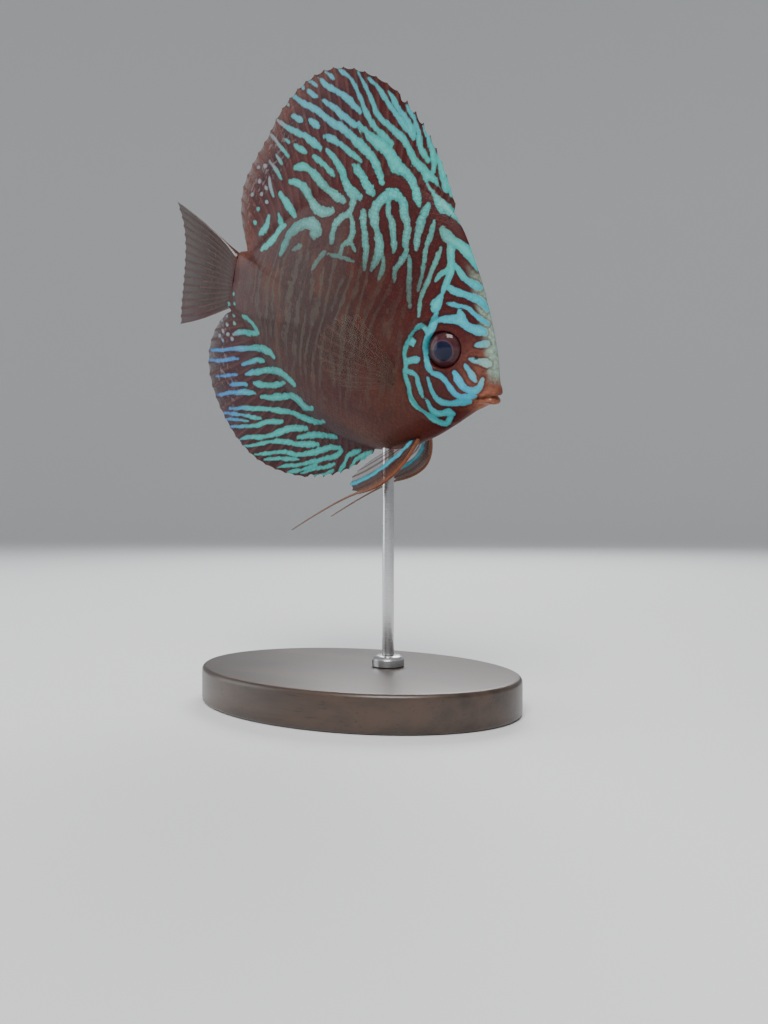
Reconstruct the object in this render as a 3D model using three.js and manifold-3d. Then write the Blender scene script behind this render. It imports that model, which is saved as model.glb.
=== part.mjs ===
// A life-size discus fish, nose down and leaning a little to its right, held by one rod on an oval base.
// Millimetres, +Z up, origin at the centre of the base's underside. The fish faces +X.
import * as THREE from "three";
import { mergeVertices } from "three/addons/utils/BufferGeometryUtils.js";
import Module from "manifold-3d";

// Driving sizes of the whole piece
const FISH_CENTRE_HEIGHT = 126;
const PITCH_DOWN_DEG = 24;
const LEAN_DEG = 14;
const GAP = 0.3;
const SEAM_TOLERANCE = 0.02;

// Driving sizes of the body. In the fish's own frame x runs forward, y to its left and z up.
const BODY_HALF_WIDTH = 11.6;
const SNOUT_X = 58.6;
const PEDUNCLE_X = -60;
const PEDUNCLE_HALF_DEPTH = 9.6;
const BODY_MIDDLE_X = 8;
const BODY_MIDDLE_Z = 2;
const BODY_SEGMENTS_AROUND = 76;
const BODY_RINGS = 18;

// Driving sizes of the fins
const MEMBRANE_HALF = 0.3;
const RAY_HALF = 0.56;
const TIP_HALF = 0.25;
const DORSAL_RAYS = 34;
const DORSAL_SPINES = 9;
const ANAL_RAYS = 30;
const ANAL_SPINES = 8;
const CAUDAL_RAYS = 16;
const PECTORAL_RAYS = 11;
const PELVIC_RAYS = 6;

// Driving sizes of the head
const EYE_RADIUS = 5.9;
const EYE_HALF_DEPTH = 3.4;
const EYE_BULGE = 1.1;
const EYE_X = 40.1;
const EYE_Z = 6.7;
const LIP_RADIUS = 0.95;
const NOSTRIL_RADIUS = 0.75;
const GILL_PLATE_RISE = 0.45;
const GILL_PLATE_DEPTH = 1.6;

// Driving sizes of the stand
const BASE_LENGTH = 116;
const BASE_WIDTH = 84;
const BASE_HEIGHT = 12;
const BASE_BEVEL = 1.5;
const ROD_RADIUS = 2;
const ROD_FISH_X = 23;
const COLLAR_RADIUS = 5.5;
const COLLAR_HEIGHT = 3.5;

const COLOURS = {
  skin: 0x6b3a30,
  gill: 0x5f9c93,
  fin: 0x6a6a5c,
  clear: 0x6f7a78,
  eye: 0x24141c,
  lip: 0x9a6a50,
  base: 0x2c2420,
  metal: 0xb9bcc0,
};

const wasm = await Module();
wasm.setup();

const v2 = (x, z) => new THREE.Vector2(x, z);
const v3 = (x, y, z) => new THREE.Vector3(x, y, z);
const smooth = (from, to, x) => {
  const t = THREE.MathUtils.clamp((x - from) / (to - from), 0, 1);
  return t * t * (3 - 2 * t);
};

// Solids from geometry and back

function toSolid(geometry) {
  const bare = new THREE.BufferGeometry();
  bare.setAttribute("position", geometry.getAttribute("position").clone());
  bare.setIndex(geometry.index);
  const merged = mergeVertices(bare, 1e-4);
  const solid = new wasm.Manifold(
    new wasm.Mesh({
      numProp: 3,
      vertProperties: new Float32Array(merged.attributes.position.array),
      triVerts: new Uint32Array(merged.index.array),
    }),
  );
  return solid;
}

// Keeps the largest closed surface, so that no loose scrap of a cut stays.
function largest(solid) {
  return solid.decompose().reduce((a, b) => (b.volume() > a.volume() ? b : a));
}

function toGeometry(solid) {
  const mesh = solid.getMesh();
  const stride = mesh.numProp;
  const positions = new Float32Array(mesh.numVert * 3);
  for (let i = 0; i < mesh.numVert; i++)
    positions.set(mesh.vertProperties.subarray(i * stride, i * stride + 3), i * 3);
  return new THREE.BufferGeometry()
    .setAttribute("position", new THREE.BufferAttribute(positions, 3))
    .setIndex(new THREE.BufferAttribute(new Uint32Array(mesh.triVerts), 1));
}

// A region of the side view, (x, z) points, pushed right across the fish or over one side of it.
function sidePrism(points, yFrom, yTo) {
  const shape = new THREE.Shape().setFromPoints(points);
  const geometry = new THREE.ExtrudeGeometry(shape, { depth: yTo - yFrom, bevelEnabled: false });
  geometry.rotateX(Math.PI / 2);
  geometry.translate(0, yTo, 0);
  return toSolid(geometry);
}

// The body

// The side view of the body without its fins, anticlockwise from the snout.
const BODY_OUTLINE = new THREE.CatmullRomCurve3(
  [
    [SNOUT_X, -1.2], [57.2, 3.5], [54.2, 10.5], [50, 18], [45, 26], [39, 34], [32, 42], [23, 48.5],
    [11, 52], [-2, 51.5], [-15, 46.5], [-27, 38.5], [-38, 28.5], [-47, 18.5], [-53, 12.4],
    [PEDUNCLE_X + 1, PEDUNCLE_HALF_DEPTH], [PEDUNCLE_X, 0], [PEDUNCLE_X, -PEDUNCLE_HALF_DEPTH - 1],
    [-52, -14.2], [-42, -22], [-30, -30], [-17, -36], [-4, -38.8], [9, -38.5], [20, -36.2],
    [30, -31.5], [38.5, -25], [46, -17.5], [52.5, -10], [56.8, -5.6],
  ].map(([x, z]) => v3(x, 0, z)),
  true,
  "centripetal",
);

// Half the body's thickness where its surface rolls over at the edge.
function edgeHalf(x, z) {
  const snout = 2.3 * smooth(34, 58, x);
  const peduncle = 1.3 * smooth(-40, -58, x);
  const belly = 1.6 * smooth(-16, -32, z) * smooth(8, 26, x);
  return 1.35 + snout + peduncle + belly;
}

function bodyHalf(edge, reach) {
  const he = edgeHalf(edge.x, edge.z);
  const rim = he * Math.sqrt(Math.max(0, 1 - reach ** 12));
  return rim + (BODY_HALF_WIDTH - he) * Math.max(0, 1 - reach ** 2) ** 0.95;
}

const BODY_MIDDLE = v3(BODY_MIDDLE_X, 0, BODY_MIDDLE_Z);
const OUTLINE_SAMPLES = BODY_OUTLINE.getSpacedPoints(720).map((p) => p.sub(BODY_MIDDLE));
const turnOf = (p) => Math.atan2(p.z, p.x);
const turnBetween = (a, b) => Math.abs(Math.atan2(Math.sin(a - b), Math.cos(a - b)));

// The outline's point in the direction of turn, seen from the middle of the body.
function edgeAt(turn) {
  let best = OUTLINE_SAMPLES[0];
  for (const p of OUTLINE_SAMPLES) if (turnBetween(turnOf(p), turn) < turnBetween(turnOf(best), turn)) best = p;
  return best;
}

// The outline's reach all round, evened out as the surface nears the middle of the side, so that no crease runs
// in from its corners.
const EVEN_TURNS = Array.from({ length: 90 }, (_, i) => (i / 90) * 2 * Math.PI);
const REACHES = EVEN_TURNS.map((turn) => edgeAt(turn).length());
const EVENING_SPREAD = 0.44;

function evenReach(turn) {
  const weights = EVEN_TURNS.map((t) => Math.exp(-0.5 * (turnBetween(t, turn) / EVENING_SPREAD) ** 2));
  const total = weights.reduce((sum, w) => sum + w, 0);
  return weights.reduce((sum, w, i) => sum + w * REACHES[i], 0) / total;
}

function distanceFromMiddle(even, edge, reach) {
  return reach * THREE.MathUtils.lerp(even, edge, reach ** 1.6);
}

// The whole body as one closed surface, larger all round by grow.
function bodyGeometry(grow = 0) {
  const geometry = new THREE.SphereGeometry(1, BODY_SEGMENTS_AROUND, BODY_RINGS);
  const position = geometry.getAttribute("position");
  for (let i = 0; i < position.count; i++) {
    const [x, y, z] = [position.getX(i), position.getY(i), position.getZ(i)];
    const reach = Math.min(1, Math.hypot(x, z));
    const turn = Math.round((Math.atan2(z, x) / (2 * Math.PI)) * BODY_SEGMENTS_AROUND);
    const edge = BODY_OUTLINE.getPointAt((((turn / BODY_SEGMENTS_AROUND) % 1) + 1) % 1);
    const side = Math.abs(y) < 1e-6 ? 0 : Math.sign(y);
    const half = bodyHalf(edge, reach);
    const out = edge.clone().sub(BODY_MIDDLE);
    const length = out.length();
    const distance = distanceFromMiddle(evenReach(turnOf(out)), length, reach) * (1 + grow / length);
    out.multiplyScalar(distance / length).add(BODY_MIDDLE);
    position.setXYZ(i, out.x, side * (half + grow), out.z);
  }
  return geometry;
}

// Half the body's thickness at a point of the side view.
function halfAt(x, z) {
  const p = v3(x, 0, z).sub(BODY_MIDDLE);
  const edge = edgeAt(turnOf(p));
  const even = evenReach(turnOf(p));
  let [low, high] = [0, 1];
  for (let i = 0; i < 24; i++) {
    const reach = (low + high) / 2;
    if (distanceFromMiddle(even, edge.length(), reach) < p.length()) low = reach;
    else high = reach;
  }
  return bodyHalf(edge.clone().add(BODY_MIDDLE), high);
}

const body = toSolid(bodyGeometry());
const bodyWithGap = toSolid(bodyGeometry(GAP));

// The curve that parts head from trunk: nape, gill opening, throat.
const GILL_OPENING = [
  [25, 62], [25.5, 48], [27.5, 36], [29.5, 22], [29.2, 13], [27.8, 5], [27.2, -2], [28, -9], [31, -15.5],
  [35.5, -21], [38, -27], [40, -40],
];

function aheadOfGills(shift) {
  const edge = new THREE.SplineCurve(GILL_OPENING.map(([x, z]) => v2(x + shift, z))).getPoints(30);
  return sidePrism([...edge, v2(90, -40), v2(90, 62)], -30, 30);
}

// The gill cover on each side, seen from the side.
const GILL_COVER = [
  [31.8, 9.5], [29.8, 5], [28.9, -1.5], [29.6, -8], [32.4, -13.8], [36.6, -18], [42, -19.2], [44.4, -17.4],
  [40.6, -13], [38, -7.5], [35.4, -1.4], [33.2, 4.6],
];

function gillRegion(side, grow) {
  const edge = new THREE.CatmullRomCurve3(GILL_COVER.map(([x, z]) => v3(x, 0, z)), true, "centripetal");
  const points = Array.from({ length: 44 }, (_, i) => {
    const p = edge.getPointAt(i / 44);
    const along = edge.getTangentAt(i / 44);
    return v2(p.x + along.z * grow, p.z - along.x * grow);
  });
  const [from, to] = side > 0 ? [1.5, 30] : [-30, -1.5];
  return sidePrism(points, from, to);
}

function gillCover(side) {
  const shell = toSolid(bodyGeometry(GILL_PLATE_RISE)).subtract(toSolid(bodyGeometry(-GILL_PLATE_DEPTH)));
  return largest(shell.intersect(gillRegion(side, 0)));
}

// The mouth

const JAW_CORNER = v2(52.2, -5.2);

// What lies under the line of the mouth and ahead of the jaw's corner.
function jawRegion(grow) {
  return sidePrism(
    [
      v2(70, -2.6 + grow), v2(57.5, -3.5 + grow), v2(JAW_CORNER.x - grow, JAW_CORNER.y + grow),
      v2(47.5 - grow, -10), v2(47 - grow, -30), v2(70, -30),
    ],
    -20,
    20,
  );
}

// A rounded bar round the front of the snout.
function lip(height, drop, reach) {
  const path = new THREE.CatmullRomCurve3([
    v3(JAW_CORNER.x + 0.8, 4.3, height - drop), v3(55.2, 3.9, height - drop * 0.5),
    v3(57.4 + reach, 2.3, height), v3(57.9 + reach, 0, height),
    v3(57.4 + reach, -2.3, height), v3(55.2, -3.9, height - drop * 0.5),
    v3(JAW_CORNER.x + 0.8, -4.3, height - drop),
  ]);
  const section = new THREE.Shape().setFromPoints(
    Array.from({ length: 8 }, (_, i) => v2(LIP_RADIUS, 0).rotateAround(v2(0, 0), (i * Math.PI) / 4)),
  );
  return toSolid(new THREE.ExtrudeGeometry(section, { steps: 16, extrudePath: path, bevelEnabled: false }));
}

// The eyes and nostrils

function eyeGeometry(side, grow) {
  const geometry = new THREE.SphereGeometry(1, 20, 12);
  geometry.scale(EYE_RADIUS + grow, EYE_HALF_DEPTH + grow, EYE_RADIUS + grow);
  geometry.rotateZ(-side * THREE.MathUtils.degToRad(13));
  const depth = halfAt(EYE_X, EYE_Z) + EYE_BULGE - EYE_HALF_DEPTH;
  geometry.translate(EYE_X, side * depth, EYE_Z);
  return geometry;
}

// The low swell of skin round the eye.
function eyeRim(side) {
  const geometry = new THREE.SphereGeometry(1, 24, 8);
  geometry.scale(EYE_RADIUS + 1.5, 2, EYE_RADIUS + 1.5);
  geometry.rotateZ(-side * THREE.MathUtils.degToRad(13));
  geometry.translate(EYE_X, side * (halfAt(EYE_X, EYE_Z) - 1.35), EYE_Z);
  return toSolid(geometry);
}

function nostril(side) {
  const geometry = new THREE.SphereGeometry(NOSTRIL_RADIUS, 8, 6);
  geometry.translate(50.6, side * (halfAt(50.6, 7) + 0.1), 7);
  return toSolid(geometry);
}

// The fins

// A closed plate of columns and rows. place(column, row, side) gives a corner, and both faces are split alike.
function plateGeometry(columns, rows, place) {
  const corners = [];
  const faces = [];
  for (const side of [1, -1])
    for (let i = 0; i <= columns; i++)
      for (let j = 0; j <= rows; j++) corners.push(...place(i, j, side).toArray());
  const at = (i, j, side) => (side > 0 ? 0 : (columns + 1) * (rows + 1)) + i * (rows + 1) + j;
  const quad = (a, b, c, d) => faces.push(a, b, c, a, c, d);
  for (let i = 0; i < columns; i++)
    for (let j = 0; j < rows; j++) {
      faces.push(at(i, j, 1), at(i + 1, j, 1), at(i + 1, j + 1, 1));
      faces.push(at(i, j, 1), at(i + 1, j + 1, 1), at(i, j + 1, 1));
      faces.push(at(i, j, -1), at(i + 1, j + 1, -1), at(i + 1, j, -1));
      faces.push(at(i, j, -1), at(i, j + 1, -1), at(i + 1, j + 1, -1));
    }
  for (let i = 0; i < columns; i++) {
    quad(at(i, 0, 1), at(i, 0, -1), at(i + 1, 0, -1), at(i + 1, 0, 1));
    quad(at(i, rows, 1), at(i + 1, rows, 1), at(i + 1, rows, -1), at(i, rows, -1));
  }
  for (let j = 0; j < rows; j++) {
    quad(at(0, j, 1), at(0, j + 1, 1), at(0, j + 1, -1), at(0, j, -1));
    quad(at(columns, j, 1), at(columns, j, -1), at(columns, j + 1, -1), at(columns, j + 1, 1));
  }
  return new THREE.BufferGeometry()
    .setAttribute("position", new THREE.Float32BufferAttribute(corners, 3))
    .setIndex(faces);
}

// A fin whose rays are ridges of its own surface. ray(s) gives the path of the ray at share s of the fin, as a
// curve in the fin's plane; notch draws the web back between ray tips; bend(p, t) gives its sideways place.
function finGeometry({ rays, rows, ray, notch, bend, strength = () => 1 }) {
  const columns = 2 * (rays - 1);
  const paths = Array.from({ length: columns + 1 }, (_, i) => ray(i / columns));
  const along = paths[columns].v0.clone().sub(paths[0].v0);
  const facing = Math.sign(along.cross(paths[0].v2.clone().sub(paths[0].v0)));
  return plateGeometry(columns, rows, (i, j, face) => {
    const side = -face * facing;
    const isRay = i % 2 === 0;
    const t = j / rows;
    const reach = isRay ? 1 : 1 - notch(i / columns);
    const p = paths[i].getPoint(t * reach);
    const root = isRay ? RAY_HALF * strength(i / columns) : MEMBRANE_HALF;
    const half = THREE.MathUtils.lerp(root, TIP_HALF + (isRay ? 0.06 : 0), t ** 1.4);
    return v3(p.x, bend(p, t) + side * half, p.y);
  });
}

function spline(points) {
  return new THREE.SplineCurve(points.map(([x, z]) => v2(x, z)));
}

function curveBetween(rootCurve, tipCurve, sweep) {
  return (s) => {
    const root = rootCurve.getPointAt(s);
    const tip = tipCurve.getPointAt(s);
    const lean = tip.clone().sub(root);
    const middle = root.clone().addScaledVector(lean, 0.5);
    middle.add(v2(lean.y, -lean.x).multiplyScalar(sweep(s)));
    return new THREE.QuadraticBezierCurve(root, middle, tip);
  };
}

const DORSAL_ROOT = spline([
  [28, 43.5], [18, 47.6], [6, 49.4], [-6, 47.2], [-18, 41.4], [-30, 32.6], [-41, 22], [-49, 13.4], [-54.5, 9],
]);
const DORSAL_MARGIN = spline([
  [28, 48], [21.5, 56], [12.5, 65], [2, 72.6], [-9, 76.8], [-21, 77.9], [-32, 75.6], [-42, 69.4],
  [-49.5, 60.5], [-54, 51], [-58.5, 42], [-61.6, 33], [-61.4, 25], [-58.6, 17.2], [-55.4, 11.6],
]);
const ANAL_ROOT = spline([
  [17.5, -34.5], [8, -36], [-4, -36.2], [-16, -33.4], [-28, -27.8], [-39, -20.4], [-48, -13.4], [-55, -9],
]);
const ANAL_MARGIN = spline([
  [18, -38.4], [11, -46.4], [2, -54], [-9, -59.6], [-21, -62.4], [-33, -62.4], [-44, -59.6], [-54, -54.6],
  [-62, -48], [-67.4, -40], [-69.4, -31], [-67.6, -22], [-63.4, -15], [-59, -11.4],
]);

function gentleWave(length, size, phase) {
  return (p, t) => size * t * t * Math.sin((p.x / length) * 2 * Math.PI + phase);
}

function dorsalFin() {
  return finGeometry({
    rays: DORSAL_RAYS,
    rows: 6,
    ray: curveBetween(DORSAL_ROOT, DORSAL_MARGIN, (s) => 0.06 * Math.sin(Math.PI * s)),
    notch: (s) => (s < DORSAL_SPINES / DORSAL_RAYS ? 0.07 : 0.015),
    bend: gentleWave(60, 1.1, 0.4),
    strength: (s) => (s < DORSAL_SPINES / DORSAL_RAYS ? 1.25 : 1),
  });
}

function analFin() {
  return finGeometry({
    rays: ANAL_RAYS,
    rows: 6,
    ray: curveBetween(ANAL_ROOT, ANAL_MARGIN, (s) => -0.06 * Math.sin(Math.PI * s)),
    notch: (s) => (s < ANAL_SPINES / ANAL_RAYS ? 0.07 : 0.015),
    bend: gentleWave(60, 1.1, 2.2),
    strength: (s) => (s < ANAL_SPINES / ANAL_RAYS ? 1.25 : 1),
  });
}

function caudalFin() {
  const root = spline([
    [PEDUNCLE_X + 2.2, PEDUNCLE_HALF_DEPTH - 1.6], [PEDUNCLE_X + 1.6, 0],
    [PEDUNCLE_X + 2, -PEDUNCLE_HALF_DEPTH + 0.4],
  ]);
  const margin = spline([
    [-97, 19.2], [-92.5, 12.5], [-90, 5], [-89, -3], [-88.6, -11], [-88.4, -19], [-87.6, -26],
  ]);
  return finGeometry({
    rays: CAUDAL_RAYS,
    rows: 6,
    ray: curveBetween(root, margin, (s) => 0.12 * (0.5 - s)),
    notch: () => 0.03,
    bend: (p, t) => 1.6 * t * t,
  });
}

// A pectoral fin, made in its own plane with its root at the origin, then laid back along the flank.
const PECTORAL_ROOT = { x: 26, z: -6.5 };

function pectoralFin(side) {
  const root = spline([[0.8, 2.6], [1, 0], [0.4, -2.8]]);
  const margin = spline([[-17, 15.5], [-23.5, 12], [-27, 6.5], [-27.6, 0.5], [-25, -5], [-20, -8.6], [-13, -9.6]]);
  const geometry = finGeometry({
    rays: PECTORAL_RAYS,
    rows: 6,
    ray: curveBetween(root, margin, (s) => 0.1 * (0.5 - s)),
    notch: () => 0.04,
    bend: (p, t) => side * (2.2 * Math.sin(Math.PI * t * 0.9)),
    strength: () => 0.85,
  });
  geometry.rotateZ(side * THREE.MathUtils.degToRad(-20));
  geometry.rotateY(THREE.MathUtils.degToRad(4));
  geometry.translate(PECTORAL_ROOT.x, side * (halfAt(PECTORAL_ROOT.x, PECTORAL_ROOT.z) - 0.4), PECTORAL_ROOT.z);
  return geometry;
}

// A round bar that thins along its way, with closed ends. point(t) and radius(t) give its middle line and size.
function thinningBar(point, radius, steps, sides = 6) {
  const corners = [];
  const faces = [];
  for (let i = 0; i <= steps; i++) {
    const t = i / steps;
    const ahead = point(Math.min(1, t + 0.01)).sub(point(Math.max(0, t - 0.01))).normalize();
    const across = new THREE.Vector3().crossVectors(ahead, v3(0, 1, 0)).normalize();
    const up = new THREE.Vector3().crossVectors(across, ahead);
    for (let k = 0; k < sides; k++) {
      const angle = ((k + 0.3) / sides) * 2 * Math.PI;
      const p = point(t);
      p.addScaledVector(across, radius(t) * Math.cos(angle)).addScaledVector(up, radius(t) * Math.sin(angle));
      corners.push(p.x, p.y, p.z);
      const [a, b] = [i * sides + k, i * sides + ((k + 1) % sides)];
      if (i < steps) faces.push(a, b + sides, b, a, a + sides, b + sides);
    }
  }
  const last = steps * sides;
  for (let k = 1; k < sides - 1; k++) faces.push(0, k, k + 1, last, last + k + 1, last + k);
  const geometry = new THREE.BufferGeometry();
  geometry.setAttribute("position", new THREE.BufferAttribute(new Float32Array(corners), 3));
  geometry.setIndex(faces);
  return geometry;
}

// A pelvic fin: a web behind one strong leading ray, which runs on past the web as a long thread.
const PELVIC_ROOT = spline([[36.2, -25.2], [33.6, -26.8], [30.8, -28.4]]);
const PELVIC_TIPS = [[22, -49.5], [19.6, -49.6], [18, -48], [18.4, -45], [20.2, -42], [22.8, -38.6]];
const PELVIC_BULGE = [0.3, 0.24, 0.18, 0.12, 0.07, 0.03];
const THREAD_KNEE = [14, -56];
const THREAD_END = [-3, -75.5];
const PELVIC_BAR_RADIUS = 0.8;
const THREAD_END_RADIUS = 0.24;

function pelvicFin(side) {
  const pathOf = (k) => {
    const from = PELVIC_ROOT.getPointAt(k / (PELVIC_RAYS - 1));
    const tip = v2(...PELVIC_TIPS[k]);
    const lean = tip.clone().sub(from);
    const knee = from.clone().addScaledVector(lean, 0.45);
    knee.add(v2(-lean.y, lean.x).multiplyScalar(PELVIC_BULGE[k]));
    return new THREE.QuadraticBezierCurve(from, knee, tip);
  };
  const outward = (t) => side * (3.4 + 7.5 * Math.sin(Math.min(1, t * 1.3) * Math.PI * 0.5));
  const web = finGeometry({
    rays: PELVIC_RAYS,
    rows: 9,
    ray: (s) => {
      const k = s * (PELVIC_RAYS - 1);
      const [a, b] = [pathOf(Math.floor(k + 1e-6)), pathOf(Math.ceil(k - 1e-6))];
      return new THREE.QuadraticBezierCurve(
        a.v0.clone().lerp(b.v0, 0.5), a.v1.clone().lerp(b.v1, 0.5), a.v2.clone().lerp(b.v2, 0.5),
      );
    },
    notch: () => 0.04,
    bend: (p, t) => outward(t),
    strength: () => 0.9,
  });
  const lead = pathOf(0);
  const thread = new THREE.QuadraticBezierCurve(lead.v2, v2(...THREAD_KNEE), v2(...THREAD_END));
  const middleLine = (t) => {
    const p = t < 0.5 ? lead.getPoint(2 * t) : thread.getPoint(2 * t - 1);
    return v3(p.x, outward(2 * t), p.y);
  };
  const radius = (t) => THREE.MathUtils.lerp(PELVIC_BAR_RADIUS, THREAD_END_RADIUS, t ** 0.8);
  const bar = thinningBar(middleLine, radius, 12, 5);
  return toGeometry(toSolid(web).add(toSolid(bar)).simplify(SEAM_TOLERANCE));
}

// The stand

function standBase() {
  const shape = new THREE.Shape();
  shape.absellipse(0, 0, BASE_LENGTH / 2 - BASE_BEVEL, BASE_WIDTH / 2 - BASE_BEVEL, 0, 2 * Math.PI);
  const geometry = new THREE.ExtrudeGeometry(shape, {
    depth: BASE_HEIGHT - 2 * BASE_BEVEL,
    bevelEnabled: true,
    bevelThickness: BASE_BEVEL,
    bevelSize: BASE_BEVEL,
    bevelSegments: 2,
    curveSegments: 40,
  });
  geometry.translate(0, 0, BASE_BEVEL);
  return geometry;
}

// The fish and its stand put together

const fish = new THREE.Group();
fish.rotation.x = THREE.MathUtils.degToRad(LEAN_DEG);
const pitched = new THREE.Group();
pitched.rotation.y = THREE.MathUtils.degToRad(PITCH_DOWN_DEG);
pitched.position.z = FISH_CENTRE_HEIGHT;
pitched.add(fish);
const model = new THREE.Group();
model.add(pitched);
model.updateMatrixWorld(true);

function material(colour, roughness, metalness = 0) {
  return new THREE.MeshStandardMaterial({ color: colour, roughness, metalness });
}

function add(parent, name, geometry, finish) {
  const mesh = new THREE.Mesh(geometry, finish);
  mesh.name = name;
  parent.add(mesh);
}

const skin = material(COLOURS.skin, 0.45);
const finFinish = material(COLOURS.fin, 0.5);
const clearFinish = material(COLOURS.clear, 0.4);

const eyes = { left: 1, right: -1 };
const sockets = Object.values(eyes).map((side) => toSolid(eyeGeometry(side, GAP)));
const rims = Object.values(eyes).map(eyeRim);
const gillClearance = (side) => gillRegion(side, GAP).subtract(toSolid(bodyGeometry(-GILL_PLATE_DEPTH - GAP)));

let head = body.intersect(aheadOfGills(GAP / 2));
let jaw = head.intersect(jawRegion(0)).add(lip(-4.9, 1.6, -0.5));
jaw = largest(jaw.intersect(jawRegion(0)));
head = head.subtract(jawRegion(GAP));
head = head.add(lip(-1.6, 2.4, 0).subtract(jawRegion(GAP)));
for (const rim of rims) head = head.add(rim);
for (const socket of sockets) head = head.subtract(socket);
for (const side of Object.values(eyes)) head = head.subtract(nostril(side)).subtract(gillClearance(side));
head = largest(head);

const tailCut = (shift) =>
  sidePrism([v2(-46.5 + shift, 40), v2(-48.5 + shift, -40), v2(-90, -40), v2(-90, 40)], -30, 30);
const torso = largest(body.subtract(aheadOfGills(-GAP / 2)).subtract(tailCut(GAP / 2)));
const tailBase = largest(body.intersect(tailCut(-GAP / 2)));

add(fish, "head", toGeometry(head), skin);
add(fish, "lower_jaw", toGeometry(jaw), material(COLOURS.lip, 0.5));
add(fish, "torso", toGeometry(torso), skin);
add(fish, "tail_base", toGeometry(tailBase), skin);
for (const [name, side] of Object.entries(eyes)) {
  add(fish, `eye_${name}`, eyeGeometry(side, 0), material(COLOURS.eye, 0.1));
  add(fish, `gill_cover_${name}`, toGeometry(gillCover(side)), material(COLOURS.gill, 0.4));
}

const offBody = (geometry) => largest(toSolid(geometry).subtract(bodyWithGap).simplify(SEAM_TOLERANCE));
add(fish, "dorsal_fin", toGeometry(offBody(dorsalFin())), finFinish);
add(fish, "anal_fin", toGeometry(offBody(analFin())), finFinish);
add(fish, "tail_fin", toGeometry(offBody(caudalFin())), clearFinish);
for (const [name, side] of Object.entries(eyes)) {
  add(fish, `pectoral_fin_${name}`, toGeometry(offBody(pectoralFin(side))), clearFinish);
  add(fish, `pelvic_fin_${name}`, toGeometry(offBody(pelvicFin(side))), finFinish);
}

add(model, "stand_base", standBase(), material(COLOURS.base, 0.5));

// The rod rises plumb to the belly between the pelvic fins, and its top is hollowed to the belly's shape.
const rodFoot = fish.localToWorld(v3(ROD_FISH_X, 0, -34));
const rodTop = new THREE.CylinderGeometry(ROD_RADIUS, ROD_RADIUS, rodFoot.z + 4 - BASE_HEIGHT - GAP, 28);
rodTop.rotateX(Math.PI / 2);
rodTop.translate(rodFoot.x, rodFoot.y, (rodFoot.z + 4 + BASE_HEIGHT + GAP) / 2);
const bodyInPlace = toSolid(bodyGeometry(GAP).applyMatrix4(fish.matrixWorld));
const rod = toGeometry(largest(toSolid(rodTop).subtract(bodyInPlace)));
add(model, "stand_rod", rod, material(COLOURS.metal, 0.25, 1));

const collar = new THREE.LatheGeometry(
  [
    v2(ROD_RADIUS + GAP, 0), v2(COLLAR_RADIUS, 0), v2(COLLAR_RADIUS, COLLAR_HEIGHT - 0.8),
    v2(COLLAR_RADIUS - 0.8, COLLAR_HEIGHT), v2(ROD_RADIUS + GAP, COLLAR_HEIGHT), v2(ROD_RADIUS + GAP, 0),
  ],
  32,
);
collar.rotateX(Math.PI / 2);
collar.translate(rodFoot.x, rodFoot.y, BASE_HEIGHT + GAP);
add(model, "stand_collar", collar, material(COLOURS.metal, 0.25, 1));

export default model;
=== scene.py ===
"""The looks of a life-size discus fish on its display stand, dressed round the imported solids.

The fish is worked out in its own frame, in millimetres: u runs forward, w to the side and v up.
Its centre, pitch and lean place it over the stand, and everything in Blender is in metres.
"""

import math

import bpy
import numpy as np
from mathutils import Matrix, Vector


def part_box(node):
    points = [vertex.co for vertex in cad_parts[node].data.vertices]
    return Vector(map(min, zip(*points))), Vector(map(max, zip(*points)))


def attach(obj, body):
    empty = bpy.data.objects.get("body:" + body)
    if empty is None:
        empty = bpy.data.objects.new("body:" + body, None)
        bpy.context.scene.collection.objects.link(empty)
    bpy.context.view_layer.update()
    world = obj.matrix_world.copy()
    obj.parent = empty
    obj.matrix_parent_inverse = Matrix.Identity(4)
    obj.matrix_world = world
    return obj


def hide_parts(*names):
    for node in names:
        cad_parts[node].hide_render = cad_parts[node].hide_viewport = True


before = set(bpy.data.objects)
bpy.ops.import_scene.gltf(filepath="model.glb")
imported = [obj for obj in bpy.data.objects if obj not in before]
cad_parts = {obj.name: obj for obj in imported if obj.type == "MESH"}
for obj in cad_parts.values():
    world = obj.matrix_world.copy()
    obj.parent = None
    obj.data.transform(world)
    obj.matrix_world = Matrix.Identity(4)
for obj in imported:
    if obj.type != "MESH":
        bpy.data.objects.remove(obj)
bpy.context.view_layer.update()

bl_info = {
    "name": "Discus fish on a stand",
    "version": (1, 0, 0),
    "blender": (4, 5, 0),
    "location": "View3D > Sidebar > Discus",
    "description": "Builds the skin, fins, eyes and stand of a life-size discus fish",
    "category": "Add Mesh",
}

MM = 0.001
SIDES = {"left": 1, "right": -1}

# The outline of the body without its fins, anticlockwise from the snout.
BODY_OUTLINE = [
    (58.6, -1.2), (57.2, 3.5), (54.2, 10.5), (50, 18), (45, 26), (39, 34), (32, 42), (23, 48.5),
    (11, 52), (-2, 51.5), (-15, 46.5), (-27, 38.5), (-38, 28.5), (-47, 18.5), (-53, 12.4),
    (-59, 9.6), (-60, 0), (-60, -10.6), (-52, -14.2), (-42, -22), (-30, -30), (-17, -36), (-4, -38.8),
    (9, -38.5), (20, -36.2), (30, -31.5), (38.5, -25), (46, -17.5), (52.5, -10), (56.8, -5.6),
]
BODY_CENTRE = np.array([8.0, 2.0])

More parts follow.
